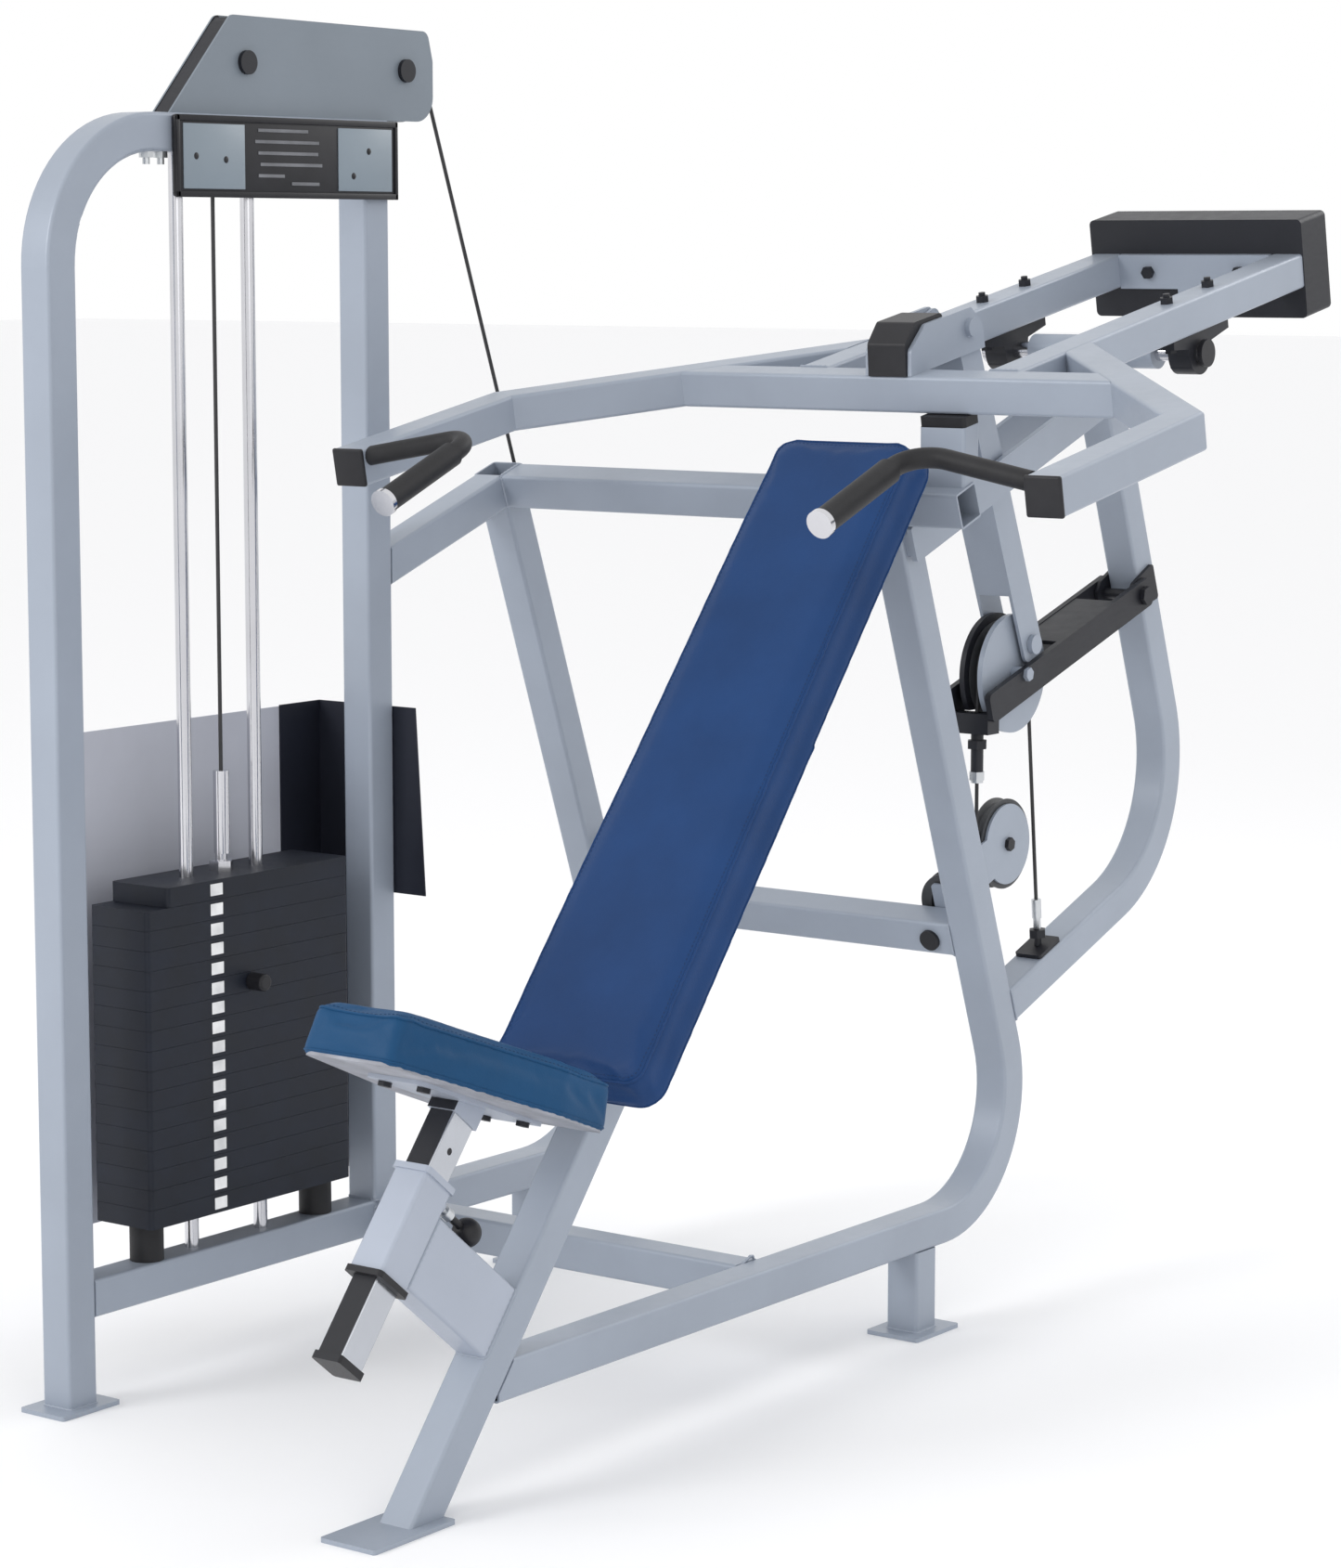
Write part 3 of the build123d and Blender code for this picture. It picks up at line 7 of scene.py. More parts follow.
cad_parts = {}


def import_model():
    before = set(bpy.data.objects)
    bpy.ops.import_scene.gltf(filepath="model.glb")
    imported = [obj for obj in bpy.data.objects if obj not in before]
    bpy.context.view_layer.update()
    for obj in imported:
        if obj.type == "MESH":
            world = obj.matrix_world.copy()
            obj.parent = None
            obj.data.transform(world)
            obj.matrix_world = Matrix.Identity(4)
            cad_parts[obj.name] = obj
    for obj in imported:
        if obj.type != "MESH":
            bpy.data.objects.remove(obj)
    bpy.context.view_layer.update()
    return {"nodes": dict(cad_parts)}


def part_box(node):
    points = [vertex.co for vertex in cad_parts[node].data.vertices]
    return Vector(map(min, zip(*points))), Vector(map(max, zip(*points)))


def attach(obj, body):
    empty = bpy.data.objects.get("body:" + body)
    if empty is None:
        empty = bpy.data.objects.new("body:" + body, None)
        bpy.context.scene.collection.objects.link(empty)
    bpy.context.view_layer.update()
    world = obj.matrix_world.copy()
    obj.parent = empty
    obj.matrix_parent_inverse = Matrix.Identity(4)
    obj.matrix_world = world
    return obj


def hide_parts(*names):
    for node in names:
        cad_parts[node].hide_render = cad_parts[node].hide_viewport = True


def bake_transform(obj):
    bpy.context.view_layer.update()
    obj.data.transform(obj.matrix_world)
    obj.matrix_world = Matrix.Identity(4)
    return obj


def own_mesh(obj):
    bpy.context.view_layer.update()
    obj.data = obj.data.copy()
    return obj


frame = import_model()
nodes = frame["nodes"]
scene = bpy.context.scene

# ---------------------------------------------------------------- directions of the machine (metres)
TUBE = 0.0508
TOWER_X = -0.681
LEG = math.radians(50.75)       # front leg, back rest and seat slide
ARM = math.radians(11)
TILT = math.radians(20)         # uprights and rear loop
SEAT = math.radians(-21.5)
ACROSS = Vector((1, 0, 0))
UP = Vector((0, 0, 1))
LEVEL = Matrix.Identity(4)      # frame of what stands square to the floor
X, Y, Z = 0, 1, 2


def along(angle):
    return Vector((0, math.cos(angle), math.sin(angle)))


def above(angle):
    return Vector((0, -math.sin(angle), math.cos(angle)))


def axes(origin, angle):
    """Frame with X across, Y along a sloping part and Z square above it."""
    m = Matrix((ACROSS, along(angle), above(angle))).transposed().to_4x4()
    m.translation = Vector(origin)
    return m


LEG_FRAME = axes((0, 0, 0), LEG)
SEAT_FRAME = axes((0, -0.070, 0.599), SEAT)
ARM_FRAME = axes((0, 0.570, 1.252), ARM)
TILT_FRAME = axes((0, 0, 0), TILT)


# ---------------------------------------------------------------- materials
def new_material(name, colour, roughness, metallic=0.0, coat=0.0, specular=0.5):
    m = bpy.data.materials.new(name)
    m.use_nodes = True
    shader = m.node_tree.nodes["Principled BSDF"]
    shader.inputs["Base Color"].default_value = (*colour, 1)
    shader.inputs["Roughness"].default_value = roughness
    shader.inputs["Metallic"].default_value = metallic
    shader.inputs["Coat Weight"].default_value = coat
    shader.inputs["Coat Roughness"].default_value = 0.25
    shader.inputs["Specular IOR Level"].default_value = specular
    return m, m.node_tree, shader


def add(tree, kind, **inputs):
    node = tree.nodes.new(kind)
    for key, value in inputs.items():
        node.inputs[key.replace("_", " ")].default_value = value
    return node


def place(tree, scale=(1, 1, 1)):
    """Object coordinates, which are the machine's own metres on every piece."""
    where = tree.nodes.new("ShaderNodeTexCoord")
    mapping = tree.nodes.new("ShaderNodeMapping")
    mapping.inputs["Scale"].default_value = scale
    tree.links.new(where.outputs["Object"], mapping.inputs["Vector"])
    return mapping.outputs["Vector"]


def noise(tree, vector, scale, detail=4.0, rough=0.55):
    node = add(tree, "ShaderNodeTexNoise", Scale=scale, Detail=detail, Roughness=rough)
    tree.links.new(vector, node.inputs["Vector"])
    return node.outputs["Fac"]


def ramp(tree, value, stops):
    node = tree.nodes.new("ShaderNodeValToRGB")
    elements = node.color_ramp.elements
    while len(elements) < len(stops):
        elements.new(0.5)
    for element, (position, colour) in zip(elements, stops):
        element.position = position
        element.color = (*colour, 1)
    tree.links.new(value, node.inputs["Fac"])
    return node.outputs["Color"]


def spread(tree, value, low, high):
    node = add(tree, "ShaderNodeMapRange", To_Min=low, To_Max=high)
    tree.links.new(value, node.inputs["Value"])
    return node.outputs["Result"]


def bump(tree, shader, height, strength, distance):
    node = add(tree, "ShaderNodeBump", Strength=strength, Distance=distance)
    tree.links.new(height, node.inputs["Height"])
    tree.links.new(node.outputs["Normal"], shader.inputs["Normal"])


def tint(colour, factor):
    return tuple(min(1.0, c * factor) for c in colour)


def painted(name, colour, roughness=0.38, metallic=0.0, coat=0.25, specular=0.5, wear=0.05):
    """Powder coat: orange peel, slight tone drift and duller scuffed patches."""
    m, tree, shader = new_material(name, colour, roughness, metallic, coat, specular)
    here = place(tree)
    drift = noise(tree, here, 5, 5)
    tree.links.new(
        ramp(tree, drift, [(0.3, tint(colour, 1 - wear)), (0.7, tint(colour, 1 + wear))]),
        shader.inputs["Base Color"],
    )
    scuff = noise(tree, place(tree, (1, 1, 3)), 38, 8, 0.7)
    tree.links.new(spread(tree, scuff, roughness - 0.08, roughness + 0.14), shader.inputs["Roughness"])
    bump(tree, shader, noise(tree, here, 1400, 2), 0.35, 0.00012)
    return m


def vinyl(name, colour):
    """Upholstery vinyl: pebble grain, fine creases and slightly polished high spots."""
    m, tree, shader = new_material(name, colour, 0.5, specular=0.2)
    here = place(tree)
    cells = add(tree, "ShaderNodeTexVoronoi", Scale=620.0)
    tree.links.new(here, cells.inputs["Vector"])
    creases = noise(tree, here, 260, 6, 0.65)
    tone = noise(tree, here, 7, 4)
    tree.links.new(
        ramp(tree, tone, [(0.25, tint(colour, 0.86)), (0.75, tint(colour, 1.16))]),
        shader.inputs["Base Color"],
    )
    tree.links.new(spread(tree, creases, 0.42, 0.60), shader.inputs["Roughness"])
    mix = add(tree, "ShaderNodeMath")
    mix.operation = "MULTIPLY_ADD"
    tree.links.new(cells.outputs["Distance"], mix.inputs[0])
    mix.inputs[1].default_value = 0.8
    tree.links.new(creases, mix.inputs[2])
    bump(tree, shader, mix.outputs[0], 0.4, 0.0004)
    return m


def polished(name, colour, roughness, stretch=(1, 1, 0.02)):
    """Bright metal with fine drawn lines along its length."""
    m, tree, shader = new_material(name, colour, roughness, 1.0)
    lines = noise(tree, place(tree, stretch), 900, 3, 0.6)
    tree.links.new(spread(tree, lines, roughness * 0.6, roughness * 1.6), shader.inputs["Roughness"])
    tree.links.new(
        ramp(tree, noise(tree, place(tree), 14), [(0.3, tint(colour, 0.92)), (0.7, colour)]),
        shader.inputs["Base Color"],
    )
    bump(tree, shader, lines, 0.12, 0.00005)
    return m


def moulded(name, colour, roughness=0.5, grain=900, depth=0.0002, specular=0.35):
    """Moulded plastic or rubber with a fine etched grain."""
    m, tree, shader = new_material(name, colour, roughness, specular=specular)
    here = place(tree)
    tree.links.new(
        ramp(tree, noise(tree, here, 22, 5), [(0.3, tint(colour, 0.8)), (0.7, tint(colour, 1.25))]),
        shader.inputs["Base Color"],
    )
    fine = noise(tree, here, grain, 4)
    tree.links.new(spread(tree, fine, roughness - 0.1, roughness + 0.12), shader.inputs["Roughness"])
    bump(tree, shader, fine, 0.4, depth)
    return m


def cast(name, colour):
    """Painted cast iron: sandy skin with broad uneven gloss."""
    m, tree, shader = new_material(name, colour, 0.5, specular=0.3)
    here = place(tree)
    skin = noise(tree, here, 420, 8, 0.7)
    broad = noise(tree, here, 18, 4)
    tree.links.new(
        ramp(tree, broad, [(0.3, tint(colour, 0.75)), (0.75, tint(colour, 1.3))]),
        shader.inputs["Base Color"],
    )
    tree.links.new(spread(tree, broad, 0.4, 0.62), shader.inputs["Roughness"])
    bump(tree, shader, skin, 0.5, 0.0004)
    return m


PAINT = painted("frame_paint", (0.305, 0.345, 0.412), 0.40, metallic=0.1, coat=0.2)
HOUSING = painted("housing_paint", (0.185, 0.218, 0.256), 0.45, metallic=0.1, coat=0.1)
PALE = painted("pale_sleeve_paint", (0.39, 0.43, 0.51), 0.38, metallic=0.1, coat=0.2)
BLACK = painted("black_powder_coat", (0.012, 0.013, 0.018), 0.45, coat=0.05, specular=0.35, wear=0.2)
SHEET_GREY = painted("shroud_paint", (0.50, 0.515, 0.58), 0.45)
SHEET_BLACK = painted("shroud_black", (0.014, 0.016, 0.026), 0.42, coat=0.05, specular=0.35, wear=0.15)
STACK = cast("stack_iron", (0.010, 0.013, 0.022))
CHROME = polished("guide_rod_chrome", (0.66, 0.66, 0.69), 0.16)
POST_CHROME = polished("seat_post_chrome", (0.52, 0.54, 0.58), 0.2)
ZINC = polished("zinc_fastener", (0.62, 0.64, 0.66), 0.32, stretch=(1, 1, 1))
RUBBER = moulded("grip_rubber", (0.014, 0.014, 0.016), 0.55, grain=700, depth=0.0005)
PLASTIC = moulded("black_plastic", (0.013, 0.013, 0.016), 0.42)
WHEEL = moulded("pulley_nylon", (0.05, 0.052, 0.056), 0.4)
BOARD = moulded("board_laminate", (0.30, 0.31, 0.35), 0.5, grain=500)
TAG = moulded("white_tag", (0.82, 0.83, 0.84), 0.35, grain=1200, depth=0.0001)
ROPE = moulded("cable_jacket", (0.03, 0.03, 0.032), 0.4, grain=2200)
BLUE = vinyl("blue_vinyl", (0.009, 0.042, 0.140))
# painted light: the seat's vinyl is the back pad's blue made brighter and more teal, as if the key light
# fell on it
SEAT_BLUE_PAINTED_LIT = vinyl("seat_vinyl_painted_lit_teal", (0.006, 0.058, 0.150))
THREAD = moulded("seam_thread", (0.006, 0.028, 0.09), 0.6, grain=3000, depth=0.0001)
GREY_PLATE = painted("placard_grey", (0.215, 0.262, 0.305), 0.42)
PRINT = moulded("placard_print", (0.16, 0.165, 0.18), 0.5, grain=2000, depth=0.0001)


def dress(name, base, *regions):
    """Gives a CAD node its material; each region is (material, test of a face's centre and normal)."""
    mesh = nodes[name].data
    mesh.materials.clear()
    mesh.materials.append(base)
    for material, _ in regions:
        mesh.materials.append(material)
    for face in mesh.polygons:
        face.material_index = 0
        for index, (_, test) in enumerate(regions):
            if test(face.center, face.normal):
                face.material_index = index + 1


def on(matrix, test):
    """The same test, with the face's centre seen from a sloping part's own frame."""
    back = matrix.inverted()
    return lambda centre, normal: test(back @ centre, back.to_3x3() @ normal)


def past(axis, limit):
    return lambda centre, normal: centre[axis] > limit


def before(axis, limit):
    return lambda centre, normal: centre[axis] < limit


# places where one CAD piece changes its material
BUMPER_TOP = 0.2255
SHAFT_CAP = 0.174               # outer end of the pivot shaft, to the right
FAR_CHEEK = -0.0105
KNOB_TOP = 0.135                # square to the leg, as are the next three
POST_FRONT = 0.2315
BRACKET_EDGE = (0.2345, 0.2375)
SLEEVE_BACK = 0.177
POST_CAP = 0.1245               # along the leg, as is the next
LOWER_RIM = 0.2345
BOLT_HEADS = -0.0171            # under the seat bracket, outside its middle
BOLT_INNER = 0.0212
SELECTOR_HEAD = 0.053           # distances from the tower's middle plane
HOUSING_WHEELS = 0.0128
COVER_HALF = 0.0132
HOUSING_BOLTS = 0.0162
COVER_REAR = 0.495
HEAD_THICK = 0.028              # of the iron in the stack's head plate
STOP_PAD = -0.0658
AXLE_FRONT = 1.3778             # up the tilted frame
AXLE_REAR = 1.4330
BRACKET_BOLT = 0.0152
ANCHOR_BASE = 0.5375            # top of the cable anchor's black foot
GUIDE_TIP = 0.7905              # top of the guide tube's bright end, under the lever
GUIDE_HALF = 0.0135
GRIP_CAP = 0.4105               # the grips' bright end caps lie in front of this
PLATE_BOLTS = 1.3458            # along the arm
FRONTAL = 0.9                   # part of a normal that counts as facing that way
stack_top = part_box("lifted_plates")[1].z


def tower_part(test):
    """A test of a face's distance from the tower's middle plane, and of its centre."""
    return lambda centre, normal: test(abs(centre.x - TOWER_X), centre)


PLAIN = {
    PAINT: (
        "front_leg", "main_frame_tube", "left_frame_tube", "tower_arch", "tower_rear_post", "rear_loop",
        "floor_cross_tube", "top_cross_tube", "left_top_tube", "top_side_plates", "pivot_housing",
        "arm_left", "arm_right", "cross_beam", "rail_left", "rail_right", "link_channel", "link_lugs",
    ),
    BLACK: ("counterweight", "lever_pivot", "pillow_block_left", "pillow_block_right"),
    WHEEL: (
        "sheave", "guide_pulley", "turn_pulley_left", "turn_pulley_right", "top_pulley_front",
        "top_pulley_rear",
    ),
    ROPE: ("main_cable", "sheave_cable"),
    BOARD: ("back_board", "seat_board"),
    STACK: ("lifted_plates",),
    PLASTIC: ("link_cover",),
    CHROME: ("guide_rods",),
    SHEET_GREY: ("side_shroud",),
    SHEET_BLACK: ("rear_shroud",),
}
for material, names in PLAIN.items():
    for name in names:
        dress(name, material)
dress("resting_plates", STACK, (RUBBER, before(Z, BUMPER_TOP)))
dress("pivot_shaft", CHROME, (PLASTIC, past(X, SHAFT_CAP)))
dress("sheave_cheeks", PAINT, (BLACK, before(X, FAR_CHEEK)))
dress("seat_pin", PLASTIC, (ZINC, on(LEG_FRAME, past(Z, KNOB_TOP))))
dress("selector_pin", PLASTIC, (CHROME, before(X, TOWER_X + SELECTOR_HEAD)))
dress("head_plate", STACK, (CHROME, lambda c, n: not stack_top - 0.001 <= c.z <= stack_top + HEAD_THICK))
dress(
    "seat_post", POST_CHROME,
    (PLASTIC, on(LEG_FRAME, before(Y, POST_CAP))),
    (BLACK, on(LEG_FRAME, lambda c, n: n.z > FRONTAL and c.z > POST_FRONT)),
)
dress(
    "seat_bracket", PALE,
    (BLACK, on(SEAT_FRAME, lambda c, n: c.z < BOLT_HEADS and abs(c.x) > BOLT_INNER)),
    (BLACK, on(LEG_FRAME, lambda c, n: n.z > FRONTAL and BRACKET_EDGE[0] < c.z < BRACKET_EDGE[1])),
)
dress("seat_sleeve", PALE, (PLASTIC, on(LEG_FRAME, lambda c, n: c.z > SLEEVE_BACK and c.y < LOWER_RIM)))
dress("arm_stop", PAINT, (RUBBER, on(ARM_FRAME, past(Z, STOP_PAD))))
dress(
    "pulley_housing", HOUSING,
    (ZINC, tower_part(lambda off, c: off < HOUSING_WHEELS)),
    (BLACK, tower_part(lambda off, c: off > HOUSING_BOLTS or (off < COVER_HALF and c.y < COVER_REAR))),
)
dress(
    "mid_cross_tube", PAINT,
    (PLASTIC, on(TILT_FRAME, before(Y, AXLE_FRONT))),
    (ZINC, on(TILT_FRAME, past(Y, AXLE_REAR))),
)
dress("guide_pulley_bracket", PAINT, (PLASTIC, lambda c, n: abs(c.x) > BRACKET_BOLT))
dress("cable_anchor", BLACK, (ZINC, past(Z, ANCHOR_BASE)))
dress("lever_bars", BLACK, (ZINC, lambda c, n: c.z < GUIDE_TIP and abs(c.x) < GUIDE_HALF))
dress("rear_cross_plate", PAINT, (BLACK, on(ARM_FRAME, before(Y, PLATE_BOLTS))))
for hand in ("left", "right"):
    dress(f"handle_{hand}", RUBBER, (CHROME, before(Y, GRIP_CAP)))


# ---------------------------------------------------------------- pieces built from meshes
def finish_piece(name, bm, material, body, smooth=40):
    """Makes the object, shades it smooth up to an angle, and rides it on its body."""
    bmesh.ops.recalc_face_normals(bm, faces=bm.faces)
    mesh = bpy.data.meshes.new(name)
    bm.to_mesh(mesh)
    bm.free()
    piece = bpy.data.objects.new(name, mesh)
    scene.collection.objects.link(piece)
    mesh.materials.append(material)
    mesh.polygons.foreach_set("use_smooth", [True] * len(mesh.polygons))
    mesh.set_sharp_from_angle(angle=math.radians(smooth))
    if body:
        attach(piece, body)
    return piece


def soft_box(bm, matrix, size, centre=(0, 0, 0), edge=0.001, steps=2):
    """Adds a box with rounded edges, its centre and sides given in the matrix's frame."""
    made = bmesh.ops.create_cube(bm, size=1)["verts"]
    bmesh.ops.scale(bm, vec=Vector(size), verts=made)
    bmesh.ops.translate(bm, vec=Vector(centre), verts=made)
    edges = list({e for v in made for e in v.link_edges})
    flat = {f for v in made for f in v.link_faces}
    rounded = bmesh.ops.bevel(bm, geom=edges, offset=edge, segments=steps, affect="EDGES", profile=0.5)
    verts = {v for f in rounded["faces"] for v in f.verts}
    verts |= {v for f in flat if f.is_valid for v in f.verts}
    bmesh.ops.transform(bm, matrix=matrix, verts=list(verts))


RIPPLE_STEP = 1.9               # radians from one ring of a weld bead to the next
SKEW = Vector((0.13, 0.31, 0.94))   # lies along no cable, seam or weld


def sweep_round(bm, points, radius, sides=10, closed=False, ripple=0.0):
    """Adds a round section along points; ripple gives a weld bead its scales."""
    count = len(points)
    rings = []
    for i, point in enumerate(points):
        last = points[i - 1] if closed or i else point
        following = points[(i + 1) % count] if closed or i < count - 1 else point
        run = (following - last).normalized()
        side = run.cross(SKEW).normalized()
        lift = side.cross(run)
        r = radius * (1 + ripple * math.sin(i * RIPPLE_STEP))
        ring = []
        for k in range(sides):
            turn = 2 * math.pi * k / sides
            ring.append(bm.verts.new(point + (side * math.cos(turn) + lift * math.sin(turn)) * r))
        rings.append(ring)
    pairs = count if closed else count - 1
    for i in range(pairs):
        a, b = rings[i], rings[(i + 1) % count]
        for k in range(sides):
            bm.faces.new((a[k], a[(k + 1) % sides], b[(k + 1) % sides], b[k]))
    if not closed:
        bm.faces.new(rings[0])
        bm.faces.new(rings[-1])


def rounded_outline(corners, radius, steps=10):
    """Points round a polygon with each corner turned by an arc."""
    points = []
    count = len(corners)
    for i, corner in enumerate(corners):
        corner = Vector(corner)
        back = (Vector(corners[i - 1]) - corner).normalized()
        forward = (Vector(corners[(i + 1) % count]) - corner).normalized()
        half = back.angle(forward) / 2
        reach = radius / math.tan(half)
        middle = corner + (back + forward).normalized() * radius / math.sin(half)
        start = (corner + back * reach - middle).normalized()
        end = (corner + forward * reach - middle).normalized()
        for step in range(steps + 1):
            points.append(middle + start.slerp(end, step / steps) * radius)
    return points


def inset(points, distance):
    """The same outline moved inwards; the outline runs anticlockwise."""
    moved = []
    count = len(points)
    for i, point in enumerate(points):
        run = points[(i + 1) % count] - points[i - 1]
        moved.append(point + Vector((-run.y, run.x)).normalized() * distance)
    return moved


def even(points, gap):
    """Points a fixed gap apart round a closed outline."""
    total = []
    count = len(points)
    for i, point in enumerate(points):
        after = points[(i + 1) % count]
        parts = max(1, round((after - point).length / gap))
        total += [point.lerp(after, k / parts) for k in range(parts)]
    return total


# ---------------------------------------------------------------- cushions
PRESSURE = 4.0
CLOTH_STEPS = 20
MOST_SWELL = 0.006              # no point moves further than this in the simulation
HELD = 0.014                    # height of the sides that stay fixed to the board
WELT_LIFT = 0.25                # a welt's middle stands this share of its radius off the cover
STITCH_IN = 0.014               # from the outline to the row of stitches
STITCH_PITCH = 0.0032
STITCH_R = 0.00045


def inflate(piece, pinned, pressure):
    """Short cloth simulation under pressure; gives the places that the points end at."""
    group = piece.vertex_groups.new(name="held")
    group.add([v.index for v in piece.data.vertices if pinned(v.co)], 1.0, "REPLACE")
    cloth = piece.modifiers.new("cloth", "CLOTH")
    cloth.settings.use_pressure = True
    cloth.settings.uniform_pressure_force = pressure
    cloth.settings.vertex_group_mass = "held"
    cloth.settings.effector_weights.gravity = 0
    cloth.settings.quality = 5
    for number in range(1, CLOTH_STEPS + 1):
        scene.frame_set(number)
    graph = bpy.context.evaluated_depsgraph_get()
    blown = piece.evaluated_get(graph).data.vertices
    moved = [v.co.copy() for v in blown]
    piece.modifiers.remove(cloth)
    scene.frame_set(1)
    return moved


def apply_modifiers(piece):
    graph = bpy.context.evaluated_depsgraph_get()
    mesh = bpy.data.meshes.new_from_object(piece.evaluated_get(graph))
    piece.modifiers.clear()
    piece.data = mesh
    return mesh


def cushion_block(outline, matrix, low, high):
    """Closed form from rings at several heights; each ring is the outline drawn in by a distance."""
    layers = [
        (low, 0.0035), (low + 0.004, 0.0015), (low + (high - low) * 0.5, 0.003), (high - 0.012, 0.0025),
        (high - 0.006, 0.004), (high - 0.0035, 0.009),
    ]
    bm = bmesh.new()
    rings = []
    for height, distance in layers:
        rings.append([bm.verts.new(matrix @ Vector((*p, height))) for p in inset(outline, distance)])
    count = len(outline)
    for a, b in zip(rings, rings[1:]):
        for k in range(count):
            bm.faces.new((a[k], a[(k + 1) % count], b[(k + 1) % count], b[k]))
    bm.faces.new(rings[0])
    bm.faces.new(rings[-1])
    return bm


def crowned(vertices, rest, moved, matrix, outline, low, high, crown):
    """Moves the points as the simulation did, up to its limit, and raises the front in the middle."""
    back = matrix.inverted()
    xs = [p.x for p in outline]
    ys = [p.y for p in outline]
    middle = Vector(((min(xs) + max(xs)) / 2, (min(ys) + max(ys)) / 2))
    half = Vector(((max(xs) - min(xs)) / 2, (max(ys) - min(ys)) / 2))
    for vertex, start, end in zip(vertices, rest, moved):
        step = end - start
        if step.length > MOST_SWELL:
            step = step.normalized() * MOST_SWELL
        local = back @ (start + step)
        share = max(0.0, (local.z - low) / (high - low))
        across = max(0.0, 1 - ((local.x - middle.x) / half.x) ** 2)
        length = max(0.0, 1 - ((local.y - middle.y) / half.y) ** 4)
        local.z += crown * share * across * length
        local.z = max(local.z, low)
        vertex.co = matrix @ local


def add_seams(piece, matrix, outline, low, high, material, body):
    """Two welts round the sides and a row of stitches inside the front edge, laid on the cover."""
    surface = BVHTree.FromObject(piece, bpy.context.evaluated_depsgraph_get())
    seam = bmesh.new()
    for height, distance, bead in ((high - 0.002, 0.004, 0.0017), (low + 0.005, 0.0005, 0.0012)):
        run = []
        for p in even(inset(outline, distance), 0.004):
            spot, normal, _, _ = surface.find_nearest(matrix @ Vector((*p, height)))
            run.append(spot + normal * bead * WELT_LIFT)
        sweep_round(seam, run, bead, 8, closed=True)
    finish_piece(piece.name + "_welt", seam, material, body)
    stitches = bmesh.new()
    for p, q in zip(*[iter(even(inset(outline, STITCH_IN), STITCH_PITCH))] * 2):
        ends = []
        for end in (p, p.lerp(q, 0.9)):
            spot, normal, _, _ = surface.find_nearest(matrix @ Vector((*end, high)))
            ends.append(spot + normal * 0.0001)
        sweep_round(stitches, ends, STITCH_R, 5)
    finish_piece(piece.name + "_stitching", stitches, THREAD, body)


def cushion(name, node, matrix, corners, radius, low, high, material, body, crown, voxel):
    """Stuffed pad: wraps its board behind, crowned in front, with a welted seam round each edge."""
    outline = rounded_outline(corners, radius)
    piece = finish_piece(name, cushion_block(outline, matrix, low, high), material, None)
    remesh = piece.modifiers.new("remesh", "REMESH")
    remesh.mode = "VOXEL"
    remesh.voxel_size = voxel
    fine = apply_modifiers(piece)
    back = matrix.inverted()
    rest = [v.co.copy() for v in fine.vertices]
    moved = inflate(piece, lambda co: (back @ co).z < low + HELD, PRESSURE)
    crowned(fine.vertices, rest, moved, matrix, outline, low, high, crown)
    fine.materials.clear()
    fine.materials.append(material)
    fine.polygons.foreach_set("use_smooth", [True] * len(fine.polygons))
    smooth = piece.modifiers.new("soften", "SMOOTH")
    smooth.factor = 0.5
    smooth.iterations = 4
    divide = piece.modifiers.new("divide", "SUBSURF")
    divide.levels = 1
    divide.render_levels = 1
    apply_modifiers(piece)
    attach(piece, body)
    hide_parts(node)
    add_seams(piece, matrix, outline, low, high, material, body)


BACK_CORNERS = [(-0.1275, 0.5935), (0.1275, 0.5935), (0.1165, 1.5955), (-0.1165, 1.5955)]
cushion(
    "back_cushion", "back_pad", LEG_FRAME, BACK_CORNERS, radius=0.034, low=0.0008, high=0.061,
    material=BLUE, body="frame", crown=0.004, voxel=0.006,
)
SEAT_CORNERS = [
    (-0.0725, 0.0015), (0.0725, 0.0015), (0.1345, 0.2635), (0.1345, 0.3645), (-0.1345, 0.3645),
    (-0.1345, 0.2635),
]
# the seat cushion uses the painted-lit teal copy of the pad vinyl
cushion(
    "seat_cushion", "seat_pad", SEAT_FRAME, SEAT_CORNERS, radius=0.024, low=-0.0114, high=0.053,
    material=SEAT_BLUE_PAINTED_LIT, body="seat_carriage", crown=0.004, voxel=0.005,
)


# ---------------------------------------------------------------- end caps of the press arm
ARM_X = 0.545
CAP_DEEP = 0.007
for hand, side in (("left", -1), ("right", 1)):
    cap = bmesh.new()
    cap_size = (TUBE + 0.001, CAP_DEEP, TUBE + 0.001)
    soft_box(cap, ARM_FRAME, cap_size, (side * ARM_X, 0.0, -TUBE / 2), 0.003, 3)
    finish_piece(f"arm_cap_{hand}", cap, PLASTIC, "press_arm")


# ---------------------------------------------------------------- placard
low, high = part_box("label_panel")
middle = (low + high) / 2
size = high - low
SUNK = 0.003                    # the board stops this far behind the CAD panel's face; the rim is as thick
RIM_TALL = 0.008
RIM_WIDE = 0.006
FACE_X = high.x - 0.0025        # middle of the thickness of what lies on the board


def on_placard(bm, thick, wide, tall, aft, rise, edge, steps=2, x=FACE_X):
    """Adds a flat box to the placard's face, aft of its middle and above it."""
    soft_box(bm, LEVEL, (thick, wide, tall), (x, middle.y + aft, middle.z + rise), edge, steps)


